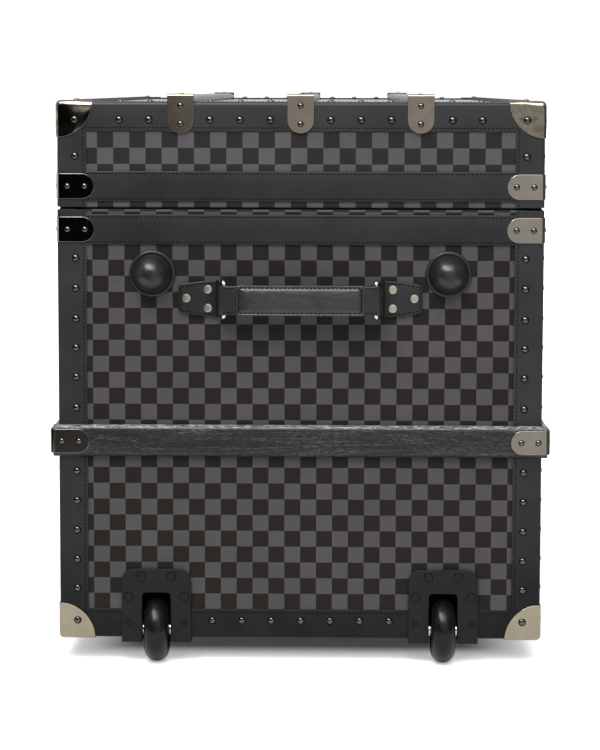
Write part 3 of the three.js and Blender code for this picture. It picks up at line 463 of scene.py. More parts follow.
def copyOfNode(name):
    # The node's own mesh, merged and cleaned, in millimetres.
    bm = bmesh.new()
    bm.from_mesh(cadNodes[name].data)
    bmesh.ops.scale(bm, vec=(1 / mm, 1 / mm, 1 / mm), verts=bm.verts)
    bmesh.ops.remove_doubles(bm, verts=bm.verts, dist=0.005)
    bmesh.ops.dissolve_limit(bm, angle_limit=math.radians(1), verts=bm.verts, edges=bm.edges)
    return bm


# The boxes and linings keep the part's own meshes.
ownMeshes = {"body_shell": bodyCanvas, "lid_shell": lidCanvas, "body_lining": lining, "lid_lining": lining}
for node, finish in ownMeshes.items():
    for slot in cadNodes[node].material_slots:
        slot.material = finish


def squareMouth(bm):
    # The leather is turned tightly over the mouth, so its round is fuller than a quarter circle.
    radius, fullness = trunk["edgeRadius"], 0.2
    reach = radius + 0.01
    for vert in bm.verts:
        rise = radius - (abs(vert.co.z - seam) - trunk["mouthGap"])
        if not 0 < rise <= reach:
            continue
        for axis, half in ((0, halfWidth), (1, halfLength)):
            out = abs(vert.co[axis]) - (half - radius)
            if 0 < out <= reach:
                fuller = radius * (out / radius) ** fullness
                vert.co[axis] = math.copysign(half - radius + fuller, vert.co[axis])


for node, body in (("body_edge_trim", "body"), ("wheel_edge_trim", "body"), ("lid_edge_trim", "lid")):
    bm = copyOfNode(node)
    squareMouth(bm)
    finishPiece(node + "_leather", bm, trimLeather, body, "edge_trim", [node], soften=0.4)
print("trims done")

stitch = {
    "pitch": 4.0, "longPitch": 4.2, "length": 2.7, "width": 1.25, "height": 0.4, "coarse": 1.2,
    "inset": 26, "skew": 5,
}


def stitchSample(grow=1.0):
    bm = bmesh.new()
    bmesh.ops.create_uvsphere(bm, u_segments=6, v_segments=4, radius=1)
    size = (grow * stitch["length"] / 2, grow * stitch["width"] / 2, stitch["height"])
    bmesh.ops.scale(bm, vec=size, verts=bm.verts)
    return meshFrom(bm)


stitchMesh, saddleStitch = stitchSample(), stitchSample(stitch["coarse"])


def stitchRow(face, start, end, lift=0.0, pitch=stitch["pitch"]):
    start, end = Vector((*start, lift)), Vector((*end, lift))
    count = max(1, round((end - start).length / pitch))
    lean = math.degrees(math.atan2(end.y - start.y, end.x - start.x))
    places = []
    for index in range(count):
        turn = lean + random.uniform(-stitch["skew"], stitch["skew"])
        places.append(face @ moved(*start.lerp(end, (index + 0.5) / count)) @ turned("Z", turn))
    return places


def trimRows(part):
    inset, rows = stitch["inset"], []
    if part == "body":
        low, high = bottom + inset, seam - trunk["mouthGap"]
    else:
        low, high = seam + trunk["mouthGap"], top - inset
    level = low if part == "body" else high
    for name, wall in walls.items():
        half = wall - inset
        for side in sides:
            rows += stitchRow(faces[name], (side * half, low), (side * half, high))
        rows += stitchRow(faces[name], (-half, level), (half, level))
    flat, halfX, halfY = flatFaces[part], halfWidth - inset, halfLength - inset
    for side in sides:
        rows += stitchRow(flat, (-halfX, side * halfY), (halfX, side * halfY))
        rows += stitchRow(flat, (side * halfX, -halfY), (side * halfX, halfY))
    return rows


bands = {
    "body": {"low": 423, "high": 453, "bracket": 438}, "lid": {"low": 466, "high": 496, "bracket": 481},
    "proud": 0.5, "sunk": 1.2, "short": 0.6, "lip": 0.7, "seamInset": 2.5,
    "reach": 38.3, "height": 25, "thickness": 1.0, "face": 1.3,
}


def bandRows(part):
    rows = []
    for name, wall in walls.items():
        half = wall - trunk["trimWidth"]
        for level in (bands[part]["low"] + bands["seamInset"], bands[part]["high"] - bands["seamInset"]):
            rows += stitchRow(faces[name], (-half, level), (half, level), bands["proud"])
    return rows


for part in parts:
    placePiece(part + "_stitching", [(stitchMesh, trimRows(part) + bandRows(part))], blackThreadAndShade, part, "edge_trim")
print("stitches done")

# Dome nails: columns are heights on the upright edges, rows are places across the ends.
nail = {
    "radius": 3.4, "height": 2.0, "inset": 18, "shadeRingGrow": 0.6, "shadeRingHeight": 0.12,
    "sidePitch": 30, "sideCount": 13,
    "columns": {"body": (409.5, 379.3, 348.7, 319.5, 290, 259, 195, 165, 135, 105, 75.5), "lid": (511,)},
    "baseRow": [1 + 29.7 * step for step in range(-6, 7)], "lidRow": (30, 60, 90, 150.5, 180),
    "betweenWheels": 100,
}


def nailPlaces(part):
    spots, inset = [], nail["inset"]
    level = bottom + inset if part == "body" else top - inset
    alongSide = [step * nail["sidePitch"] for step in range(-nail["sideCount"], nail["sideCount"] + 1)]
    fullRow = nail["baseRow"] if part == "body" else [side * x for side in sides for x in nail["lidRow"]]
    # The wheel housings cover part of the row at the near end.
    nearRow = fullRow if part == "lid" else [x for x in fullRow if abs(x) < nail["betweenWheels"]]
    rows = {"near": nearRow, "far": fullRow, "left": alongSide, "right": alongSide}
    for name, wall in walls.items():
        spots += [faces[name] @ moved(side * (wall - inset), z, 0)
                  for side in sides for z in nail["columns"][part]]
        spots += [faces[name] @ moved(across, level, 0) for across in rows[name]]
    flat, edgeX, edgeY = flatFaces[part], halfWidth - inset, halfLength - inset
    spots += [flat @ moved(side * edgeX, v, 0) for side in sides for v in alongSide]
    for side, row in ((-1, fullRow), (1, nearRow)):
        spots += [flat @ moved(u, side * edgeY, 0) for u in row]
    return spots


nailMesh = domeSample(nail["radius"], nail["height"])
# Each nail stands on a near-black ring a little wider than its head, painted shade round its foot.
nailShadeRing = domeSample(nail["radius"] + nail["shadeRingGrow"], nail["shadeRingHeight"], 12, 1)
for part in parts:
    spots = nailPlaces(part)
    placePiece(part + "_dome_nails", [(nailMesh, spots)], nailMetal, part, "bright_metal", sharp=60)
    placePiece(part + "_nail_shade_rings", [(nailShadeRing, spots)], blackThreadAndShade, part, "edge_trim")
print("nails done")


def stripSample(half, low, high, sunk, proud, lip, steps):
    # A strip along a face, with its two long outer edges rounded where it stands proud.
    bm = bmesh.new()
    addBox(bm, (-half, low, -sunk), (half, high, proud))
    roundOff(bm, edgesWhere(bm, lambda middle, way: middle.z > 0 and abs(way.x) > 0.9), lip, steps)
    return meshFrom(bm)


def foldedStrip(reachA, reachB, height, radius, thickness):
    # A stamped strip round an upright corner at the origin, from -X round to +Y, with round ends.
    bm = bmesh.new()
    half = height / 2
    end = [bm.verts.new((-reachA, 0, z)) for z in (-half, half)]

    def stretch(edge, shift):
        made = bmesh.ops.extrude_edge_only(bm, edges=[edge])["geom"]
        verts = vertsOf(made)
        bmesh.ops.translate(bm, vec=shift, verts=verts)
        return next(item for item in edgesOf(made) if all(vert in verts for vert in item.verts)), verts

    bendStart, _ = stretch(bm.edges.new(end), (reachA - radius, 0, 0))
    bent = bmesh.ops.spin(bm, geom=[bendStart, *bendStart.verts], cent=(-radius, radius, 0), axis=(0, 0, 1),
                          dvec=(0, 0, 0), angle=math.pi / 2, steps=8, use_merge=False, use_duplicate=False)
    _, tip = stretch(edgesOf(bent["geom_last"])[0], (0, reachB - radius, 0))
    for verts in (end, tip):
        bmesh.ops.bevel(bm, geom=verts, offset=half - 0.01, segments=8, profile=0.5,
                        affect="VERTICES", material=-1)
    bmesh.ops.remove_doubles(bm, verts=bm.verts, dist=0.05)
    faceOutwards(bm, (-radius, radius, 0))
    bmesh.ops.solidify(bm, geom=bm.faces, thickness=thickness)
    return meshFrom(bm)


def cornerPlaces(out, level):
    # From the near right corner's own frame to each upright corner of the trunk.
    return [moved(x * (halfWidth + out), y * (halfLength + out), level) @ mirrored(x, -y) for x, y in corners]


bracket = foldedStrip(bands["reach"], bands["reach"], bands["height"],
                      trunk["edgeRadius"] + bands["face"], bands["thickness"])
for part in parts:
    layout = bands[part]
    strips = [(stripSample(wall - trunk["trimWidth"] - bands["short"] / 2, layout["low"], layout["high"],
                           bands["sunk"], bands["proud"], bands["lip"], 3), [faces[name]])
              for name, wall in walls.items()]
    placePiece(part + "_band_leather", strips, bandLeather, part, "band_leather", [part + "_band"])
    placePiece(part + "_band_brackets", [(bracket, cornerPlaces(bands["face"], layout["bracket"]))],
               nickel, part, "bright_metal", [part + "_band"], soften=0.32, sharp=30)

# A black strip lines both mouths, a guessed seal whose black is painted shade, so the seam is dark almost out to
# its corners.
seal = {"inset": 2.4, "width": 3, "butt": 0.05, "levels": {"body": (-1.7, 0.25), "lid": (0.55, 1.7)}}
for part in parts:
    low, high = (seam + level for level in seal["levels"][part])
    strips = []
    for name, wall in walls.items():
        half = wall - seal["inset"] - (0 if name in ends else seal["width"] + seal["butt"])
        strip = stripSample(half, low, high, seal["inset"] + seal["width"], -seal["inset"], 0, 1)
        strips.append((strip, [faces[name]]))
    placePiece(part + "_mouth_seal", strips, sealAndSeamShade, part, "edge_trim", soften=0.3)

# Wooden slats go round the body, each end's over the sides', with a bracket at every corner.
slats = {
    "low": 210.3, "high": 242.3, "proud": 6.6, "shoulder": 5.4, "sunk": 1.2, "endShort": 1.6, "sideShort": 0.4,
    "level": 226.3, "reach": 39.4, "bracketHeight": 24, "face": 7.9, "thickness": 1.0, "bend": 6.3,
    "rivets": (12, 29),
}
for kind, names, half, wood in (
        ("end", ends, halfWidth + slats["proud"] - slats["endShort"], slatWoodX),
        ("side", ("left", "right"), halfLength - slats["sideShort"], slatWoodY)):
    slat = stripSample(half, slats["low"], slats["high"], slats["sunk"], slats["proud"], slats["shoulder"], 6)
    placePiece(kind + "_slats", [(slat, [faces[name] for name in names])], wood, "body", "slat_wood",
               ["body_slats"])
slatBracket = foldedStrip(slats["reach"], slats["reach"], slats["bracketHeight"], slats["bend"], slats["thickness"])
placePiece("slat_brackets", [(slatBracket, cornerPlaces(slats["face"], slats["level"]))], nickel,
           "body", "bright_metal", ["slat_bracket_" + name for name in cornerNames], soften=0.32, sharp=30)
print("bands and slats done")

lidSlat = {
    "places": {"left": -119, "middle": 0, "right": 119}, "half": 12.7, "proud": 6.2, "sunk": 1.2, "shoulder": 3.0,
}
clip = {"half": 13.25, "drop": 31.2, "reach": 37, "thickness": 1.0, "proud": 7.5, "out": 1.3, "radius": 2.2,
        "rivetDrops": (4, 22), "topRivet": 22}
clipMesh = foldedStrip(clip["drop"] + clip["proud"], clip["reach"] + clip["out"], clip["half"] * 2,
                       clip["radius"], clip["thickness"])
# The fold lies across X: its first arm goes down the lid's end, its second along the slat.
clipTurn = Matrix(((0, 0, 1), (0, 1, 0), (1, 0, 0))).to_4x4()
bm = bmesh.new()
for x in lidSlat["places"].values():
    addBox(bm, (x - lidSlat["half"], -halfLength, top - lidSlat["sunk"]),
           (x + lidSlat["half"], halfLength, top + lidSlat["proud"]))
roundOff(bm, edgesWhere(bm, lambda middle, way: middle.z > top and abs(way.y) > 0.9), lidSlat["shoulder"], 5)
finishPiece("lid_slats", bm, lidSlatWood, "lid", "slat_wood",
            ["lid_slat_" + name for name in lidSlat["places"]])
clipPlaces = [moved(x, y * (halfLength + clip["out"]), top + clip["proud"]) @ mirrored(y=-y) @ clipTurn
              for x in lidSlat["places"].values() for y in sides]
placePiece("slat_clips", [(clipMesh, clipPlaces)], clipNickel, "lid", "bright_metal",
           ["slat_clip_" + end + "_" + name for end in ends for name in lidSlat["places"]], soften=0.32, sharp=30)

# Rivets of brackets and clips: tall heads on the bands and the ends, low ones where a tall one would stick out.
rivet = {
    "radius": 2.7, "height": 1.5, "lowHeight": 0.8, "shadeRingGrow": 0.45, "shadeRingHeight": 0.1, "bandSpots": (10.4, 27.6),
}
rivetMesh, lowRivet = (domeSample(rivet["radius"], rivet[size], 16) for size in ("height", "lowHeight"))
# Each rivet stands on a near-black ring, painted shade round its foot.
rivetShadeRing = domeSample(rivet["radius"] + rivet["shadeRingGrow"], rivet["shadeRingHeight"], 16, 1)
tallSpots = {part: [faces[name] @ moved(side * (wall - spot), bands[part]["bracket"], bands["face"])
                    for name, wall in walls.items() for side in sides for spot in rivet["bandSpots"]]
             for part in parts}
lowSpots = {part: [] for part in parts}
for name, wall in walls.items():
    slatSpots = tallSpots if name in ends else lowSpots
    slatSpots["body"] += [
        faces[name] @ moved(side * (wall + slats["face"] - spot), slats["level"], slats["face"])
        for side in sides for spot in slats["rivets"]]
for x in lidSlat["places"].values():
    tallSpots["lid"] += [faces[name] @ moved(x, top - drop, clip["out"])
                         for name in ends for drop in clip["rivetDrops"]]
    lowSpots["lid"] += [faces["top"] @ moved(x, y * (halfLength - clip["topRivet"]), clip["proud"])
                        for y in sides]
for part in parts:
    placePiece(part + "_bracket_rivets", [(rivetMesh, tallSpots[part]), (lowRivet, lowSpots[part])],
               bracketRivet, part, "bright_metal", sharp=60)
    placePiece(part + "_rivet_shade_rings", [(rivetShadeRing, tallSpots[part] + lowSpots[part])], blackThreadAndShade,
               part, "bright_metal")
print("lid slats and clips done")

cap = {"reach": 36, "thickness": 0.9, "gap": 0.3, "steps": 14, "nailHeight": 1.7}


def capSample():
    # Three quarter discs meet at the corner, their shared edges are rounded, then they get a thickness.
    reach = cap["reach"]
    quarter = bmesh.new()
    centre, rim = quarter.verts.new((0, 0, 0)), quarter.verts.new((reach, 0, 0))
    edge = quarter.edges.new((centre, rim))
    bmesh.ops.spin(quarter, geom=[centre, rim, edge], cent=(0, 0, 0), axis=(0, 0, 1), dvec=(0, 0, 0),
                   angle=math.pi / 2, steps=cap["steps"], use_merge=False, use_duplicate=False)
    bm = bmesh.new()
    nextAxis = Matrix(((0, 0, 1), (1, 0, 0), (0, 1, 0))).to_4x4()
    addCopies(bm, meshFrom(quarter), [Matrix.Identity(4), nextAxis, nextAxis @ nextAxis])
    bmesh.ops.remove_doubles(bm, verts=bm.verts, dist=0.01)

    def axesOff(middle):
        return sum(abs(share) > 0.01 for share in middle)

    fan = edgesWhere(bm, lambda middle, way: middle.length < reach * 0.9 and axesOff(middle) > 1)
    bmesh.ops.dissolve_edges(bm, edges=fan, use_verts=False)
    shared = edgesWhere(bm, lambda middle, way: axesOff(middle) == 1)
    roundOff(bm, shared, trunk["edgeRadius"] + cap["gap"], 5)
    faceOutwards(bm, (reach, reach, reach))
    bmesh.ops.solidify(bm, geom=bm.faces, thickness=-cap["thickness"])
    return meshFrom(bm)


capMesh = capSample()
capNail = domeSample(nail["radius"], cap["nailHeight"], 14)
gap, inset, out = cap["gap"], nail["inset"], cap["gap"] + cap["thickness"]
for part, level, z, metal, stem in (
        ("body", bottom, 1, capNickel, "base_cap_"), ("lid", top, -1, lidCapNickel, "lid_cap_")):
    places = [moved(x * (halfWidth + gap), y * (halfLength + gap), level - z * gap) @ mirrored(-x, -y, z)
              for x, y in corners]
    placePiece(stem + "shells", [(capMesh, places)], metal, part, "bright_metal",
               [stem + name for name in cornerNames], soften=0.4, sharp=30)
    spots = [flatFaces[part] @ moved(x * (halfWidth - inset), y * (halfLength - inset), out)
             for x, y in corners]
    spots += [faces[name] @ moved(side * (wall - inset), level + z * inset, out)
              for name, wall in walls.items() for side in sides]
    placePiece(stem + "nails", [(capNail, spots)], nailMetal, part, "bright_metal", sharp=60)
    # The cap nails stand on the same rings of painted shade.
    placePiece(stem + "nail_shade_rings", [(nailShadeRing, spots)], blackThreadAndShade, part, "bright_metal")
print("caps done")

# Domed feet: each has a flat flange, a groove and a dome that ends in a small flat pad.
foot = {
    "flange": 23, "rim": 2.6, "rimRound": 1.2, "dome": 19.2, "tall": 26.2, "pad": 5, "groove": 0.9, "steps": 14,
    "sunk": -1.2, "across": 147.5, "upEnd": 394, "underFar": -370,
}


def footSample():
    flange, rim, turn, dome, groove = (foot[key] for key in ("flange", "rim", "rimRound", "dome", "groove"))
    profile = [(0, 0), (flange, 0), (flange, rim - turn)]
    profile += [(flange - turn + turn * math.cos(a), rim - turn + turn * math.sin(a))
                for a in (0.5, 1.0, math.pi / 2)]
    profile += [(dome + groove, rim), (dome + groove / 2, rim - groove), (dome, rim - groove / 2)]
    last = math.acos(foot["pad"] / dome)
    for step in range(1, foot["steps"] + 1):
        angle = last * step / foot["steps"]
        profile.append((dome * math.cos(angle), rim + (foot["tall"] - rim) * math.sin(angle) / math.sin(last)))
    return spunSample(profile + [(0, foot["tall"])], 56)


footMesh = footSample()
for stem, face, level in (("end_foot_", "near", foot["upEnd"]), ("base_foot_", "bottom", foot["underFar"])):
    for side, x in (("left", -1), ("right", 1)):
        place = faces[face] @ moved(x * foot["across"], level, foot["sunk"])
        placePiece(stem + side + "_rubber", [(footMesh, [place])], footRubber, "body", "foot_rubber",
                   [stem + side], sharp=50)

wheel = {
    "spacing": 144.4, "y": -432.5, "z": 32.5, "radius": 32.5, "width": 24.5, "core": 19, "coreWidth": 20,
    "fit": 0.3, "bore": 4.35, "hub": 6.5, "hubReach": 13.95, "bearing": 11, "web": 4, "lip": 16.3,
    "axleHead": 6.5, "axleFace": 17.1, "axleTip": 20.7, "shank": 4,
}


def tyreSample():
    half, core, side = wheel["width"] / 2, wheel["core"] + wheel["fit"], wheel["coreWidth"] / 2
    shoulder = wheel["radius"] - half
    profile = [(core, -side), (shoulder - 0.6, -half + 0.5)]
    for step in range(0, 19):
        angle = math.pi * step / 18 - math.pi / 2
        profile.append((shoulder + half * math.cos(angle), half * math.sin(angle)))
    profile += [(shoulder - 0.6, half - 0.5), (core, side), (core, -side)]
    return spunSample(profile, 72)


def coreSample():
    half, bore, hub, reach, bearing, web, lip = wheel["coreWidth"] / 2, *(
        wheel[key] for key in ("bore", "hub", "hubReach", "bearing", "web", "lip"))
    side = [(bore, reach), (hub, reach), (hub, half), (bearing, half), (bearing, web), (lip, web), (lip, half),
            (wheel["core"], half)]
    sample = spunSample([(r, -h) for r, h in side] + side[::-1] + [(bore, -reach)], 48)
    for face in sample.polygons:  # the bush in the middle is bright metal
        farthest = max(sample.vertices[corner].co.xy.length for corner in face.vertices)
        face.material_index = int(farthest < hub + 0.1)
    return sample


def axleSample():
    face, head, tip, shank = wheel["axleFace"], wheel["axleHead"], wheel["axleTip"], wheel["shank"]
    side = [(0, tip), (head - 1.4, tip), (head, tip - 1.2), (head, face), (shank, face)]
    return spunSample([(r, -h) for r, h in side] + side[::-1], 40)


wheelKinds = (("tyre", tyreSample(), tyreRubber, "tread", 40),
              ("core", coreSample(), [hubPlastic, ringMetal], "wheel_plastic", 35),
              ("axle", axleSample(), steel, "steel", 35))
for side, x in (("left", -1), ("right", 1)):
    place = moved(x * wheel["spacing"], wheel["y"], wheel["z"]) @ turned("Y", 90)
    for kind, sample, finish, slot, sharp in wheelKinds:
        node = "wheel_" + kind + "_" + side
        placePiece(node + "_look", [(sample, [place])], finish, "body" if kind == "axle" else "wheel_" + side,
                   slot, [node], sharp=sharp)

# Screws of the wheel housings: spots are half their spacing and their height.
screw = {
    "large": 4.2, "small": 2.5, "tall": 1.3, "smallTall": 1.04, "gapShadeGrow": 0.7, "gapShadeHeight": 0.15, "face": 3.3,
    "largeSpots": ((15, 88.5), (28.2, 68)), "smallSpots": ((28.3, 41),), "underSpots": ((26, 428), (26, 396)),
    "under": 4.0,
}


def screwSample(radius, tall):
    # A low cheese head with a sunk socket.
    bm = bmesh.new()
    addRod(bm, radius, tall, (0, 0, tall / 2), 20, upright=True)
    rim = edgesWhere(bm, lambda middle, way: middle.z > tall - 0.01 and abs(way.z) < 0.1)
    roundOff(bm, rim, tall * 0.35, 2)
    cover = max(bm.faces, key=lambda face: face.calc_center_median().z)
    bmesh.ops.inset_individual(bm, faces=[cover], thickness=radius * 0.42)
    sunk = bmesh.ops.extrude_discrete_faces(bm, faces=[cover])["faces"]
    bmesh.ops.translate(bm, vec=(0, 0, -tall * 0.55), verts=sunk[0].verts)
    return meshFrom(bm)


largeScrew = screwSample(screw["large"], screw["tall"])
smallScrew = screwSample(screw["small"], screw["smallTall"])
# Near-black rings round the screw heads are painted shade in the gaps.
largeGapShade, smallGapShade = (domeSample(screw[size] + screw["gapShadeGrow"], screw["gapShadeHeight"], 20, 1)
                      for size in ("large", "small"))
for side, x in (("left", -1), ("right", 1)):
    node, middle = "wheel_housing_" + side, x * wheel["spacing"]
    finishPiece(node + "_shell", copyOfNode(node), housingPlastic, "body", "housing_plastic", [node],
                soften=0.7, segments=3)
    large, small, under = (
        [faces[face] @ moved(middle + s * u, v, out) for u, v in screw[key] for s in sides]
        for face, key, out in (("near", "largeSpots", screw["face"]), ("near", "smallSpots", screw["face"]),
                               ("bottom", "underSpots", screw["under"])))
    placePiece(node + "_screws", [(largeScrew, large + under), (smallScrew, small)], screwBlack,
               "body", "housing_plastic", sharp=30)
    placePiece(node + "_screw_gap_shade", [(largeGapShade, large + under), (smallGapShade, small)], blackThreadAndShade,
               "body", "housing_plastic")
print("feet and wheels done")

handle = {
    "level": 369.4, "canvas": 1.5, "lift": 0.3, "fold": 3.4, "front": 19.15, "travel": 6,
    "tabInner": 80.5, "tabOuter": 121.5, "innerHalf": 18.2, "outerHalf": 14, "tab": 3.5, "tabCorner": 3.5,
    "tabLip": 0.8, "tabRivets": ((113.5, 0.5), (92, 9.4), (92, -9.4)), "rivet": (4.1, 0.85, 20, 3, 0.55),
    "ring": 75.3, "ringHalf": 17.65, "ringTurn": 3.2, "wire": 2.25,
    "grip": 28.8, "strap": 5, "strapLip": 1.1, "bow": 1.12, "eye": 5.75, "eyeGap": 0.5, "eyeLip": 0.5,
}
pad = {
    "half": 63, "high": 15, "lip": 0.9, "corner": 0.9, "crowd": 1.6, "valley": 0.7, "valleyHalf": 0.7,
    "stitchIn": 2.5, "stitchLift": 0.35, "swell": 2.0, "backSwell": 2.4, "fill": 2.6,
}
rowPlaces = {
    "tabInner": 85.5, "tabMiddle": 101, "fromOuter": 2.2, "fromSide": 2.4, "bend": 0.9,
    "strapFrom": 64.5, "strapTo": 77, "strapLevels": (-12, 12),
}
tabTop = handle["lift"] + handle["tab"]


def tabSample():
    # A tab that widens towards the ring, folded round the ring's back bar.
    bm = bmesh.new()
    inner, outer, wide = handle["tabInner"], handle["tabOuter"], handle["innerHalf"]
    addBox(bm, (inner, -wide, handle["lift"]), (outer, wide, tabTop))
    cutAcross(bm, 0, 6)
    for vert in bm.verts:
        share = (vert.co.x - inner) / (outer - inner)
        vert.co.y = math.copysign(wide - (wide - handle["outerHalf"]) * share ** 1.6, vert.co.y)
    uprights = edgesWhere(bm, lambda middle, way: abs(way.z) > 0.9 and middle.x > outer - 0.1)
    roundOff(bm, uprights, handle["tabCorner"], 4)
    rim = edgesWhere(bm, lambda middle, way: middle.z > tabTop - 0.05 and
                     (middle.x > outer - 3.6 or abs(way.x) > 0.5 and abs(middle.y) > 10))
    roundOff(bm, rim, handle["tabLip"])
    addRod(bm, handle["fold"], wide * 2, (inner, 0, handle["lift"] + handle["fold"]), 28)
    return meshFrom(bm)


def ringSample():
    # Round wire bent into a rectangle with rounded corners, from the tab's fold out to the strap's eye.
    back, front = (handle["tabInner"], handle["lift"] + handle["fold"]), (handle["ring"], handle["front"])
    half, turn = handle["ringHalf"], handle["ringTurn"]
    bends = [Vector((x, y, z)) for (x, z), y in ((front, -half), (front, half), (back, half), (back, -half))]
    points = []
    for index, bend in enumerate(bends):
        arriving = (bend - bends[index - 1]).normalized()
        leaving = (bends[(index + 1) % 4] - bend).normalized()
        for step in range(7):
            angle = math.pi / 2 * step / 6
            points.append(bend - arriving * turn * (1 - math.sin(angle))
                          + leaving * turn * (1 - math.cos(angle)))
    curve = bpy.data.curves.new("ringWire", "CURVE")
    curve.dimensions, curve.bevel_depth, curve.bevel_resolution = "3D", handle["wire"], 4
    line = curve.splines.new("POLY")
    line.points.add(len(points) - 1)
    for point, place in zip(line.points, points[-1:] + points[:-1]):
        point.co = (*place, 1)
    line.use_cyclic_u = True
    wire = bpy.data.objects.new("ringWire", curve)
    sample = bpy.data.meshes.new_from_object(wire)
    bpy.data.objects.remove(wire)
    bpy.data.curves.remove(curve)
    return sample


def gripBow(x):
    return handle["bow"] * (1 - (x / handle["ring"]) ** 2)


def strapSample():
    # The grip's strap, which bows a little between the rings.
    bm = bmesh.new()
    half, face = handle["grip"] / 2, handle["front"] + handle["eye"]
    addBox(bm, (-handle["ring"], -half, face - handle["strap"]), (handle["ring"], half, face))
    cutAcross(bm, 0, 24)
    for vert in bm.verts:
        vert.co.z += gripBow(vert.co.x)
    lips = edgesWhere(bm, lambda middle, way: abs(way.x) > 0.5 and abs(middle.y) > half - 0.1)
    roundOff(bm, lips, handle["strapLip"])
    return meshFrom(bm)


def eyeSample():
    # The strap's end turned back round the ring, with a long slot that lets the grip draw out.
    bm = bmesh.new()
    half, eye, low = handle["grip"] / 2, handle["eye"], -handle["travel"]
    path = [(0, eye)]
    path += [(eye * math.sin(a), eye * math.cos(a)) for a in (math.pi * k / 16 for k in range(1, 9))]
    path += [(eye * math.cos(a), low - eye * math.sin(a)) for a in (math.pi * k / 16 for k in range(0, 17))]
    path += [(-eye, 0)]
    path += [(-eye * math.cos(a), eye * math.sin(a)) for a in (math.pi * k / 16 for k in range(1, 8))]
    verts = [bm.verts.new((x, -half, z)) for x, z in path]
    edges = [bm.edges.new(pair) for pair in zip(verts, verts[1:] + verts[:1])]
    made = bmesh.ops.extrude_edge_only(bm, edges=edges)["geom"]
    bmesh.ops.translate(bm, vec=(0, half * 2, 0), verts=vertsOf(made))
    faceOutwards(bm, (0, 0, low / 2))
    bmesh.ops.solidify(bm, geom=bm.faces, thickness=eye - handle["wire"] - handle["eyeGap"])
    rims = edgesWhere(bm, lambda middle, way: abs(abs(middle.y) - half) < 0.05 and abs(way.y) < 0.5)
    roundOff(bm, rims, handle["eyeLip"], 2)
    return meshFrom(bm)


def padSample():
    # A stuffed cover round the strap's middle: a flat lip, a valley for the stitches, then the swell.
    bm = bmesh.new()
    long, high, corner = pad["half"], pad["high"], pad["corner"]
    face = handle["front"] + handle["eye"] + pad["lip"]
    back = face - handle["strap"] - 2 * pad["lip"]
    addBox(bm, (-long, -high, back), (long, high, face))
    cutAcross(bm, 0, 79)
    cutAcross(bm, 1, 59)
    for vert in bm.verts:
        x, y, z = vert.co
        x = math.copysign(long * (1 - (1 - abs(x) / long) ** pad["crowd"]), x)
        outward = 1 if z > (face + back) / 2 else -1
        fromEnd, fromEdge = (long - abs(x)) * corner, (high - abs(y)) * corner
        edge = max(0, -math.log(math.exp(-fromEnd) + math.exp(-fromEdge)) / corner + 0.2)
        rolled = -0.5 * max(0, 1 - edge) ** 2
        valley = -pad["valley"] * math.exp(-((edge - pad["stitchIn"]) / pad["valleyHalf"]) ** 2)
        rise = max(0, edge - pad["stitchIn"] - 0.3)
        swell = (pad["swell"] if outward > 0 else pad["backSwell"]) * (1 - math.exp(-rise / pad["fill"]))
        vert.co = (x, y, z + outward * (rolled + valley + swell) + gripBow(x))
    return meshFrom(bm)


tabMesh, ringMesh, eyeMesh, padMesh = tabSample(), ringSample(), eyeSample(), padSample()
strapMesh = strapSample()
flatRivet = domeSample(*handle["rivet"])


def gripRow(place, start, end, lift, pieces=1):
    # A row on the grip, in short lengths that follow its bow.
    rows = []
    start, end = Vector(start), Vector(end)
    for k in range(pieces):
        first, last = start.lerp(end, k / pieces), start.lerp(end, (k + 1) / pieces)
        level = handle["front"] + handle["eye"] + lift + gripBow((first.x + last.x) / 2)
        rows += stitchRow(place, first, last, level, stitch["longPitch"])
    return rows


def tabRows(place):
    outer, slim = (handle[key] - rowPlaces["fromOuter"] for key in ("tabOuter", "outerHalf"))
    wide = handle["innerHalf"] - rowPlaces["fromSide"]
    rows = stitchRow(place, (outer, -slim), (outer, slim), tabTop, stitch["longPitch"])
    for side in sides:
        bend = (rowPlaces["tabMiddle"], side * (wide - rowPlaces["bend"]))
        rows += stitchRow(place, (rowPlaces["tabInner"], side * wide), bend, tabTop, stitch["longPitch"])
        rows += stitchRow(place, bend, (outer, side * slim), tabTop, stitch["longPitch"])
    return rows


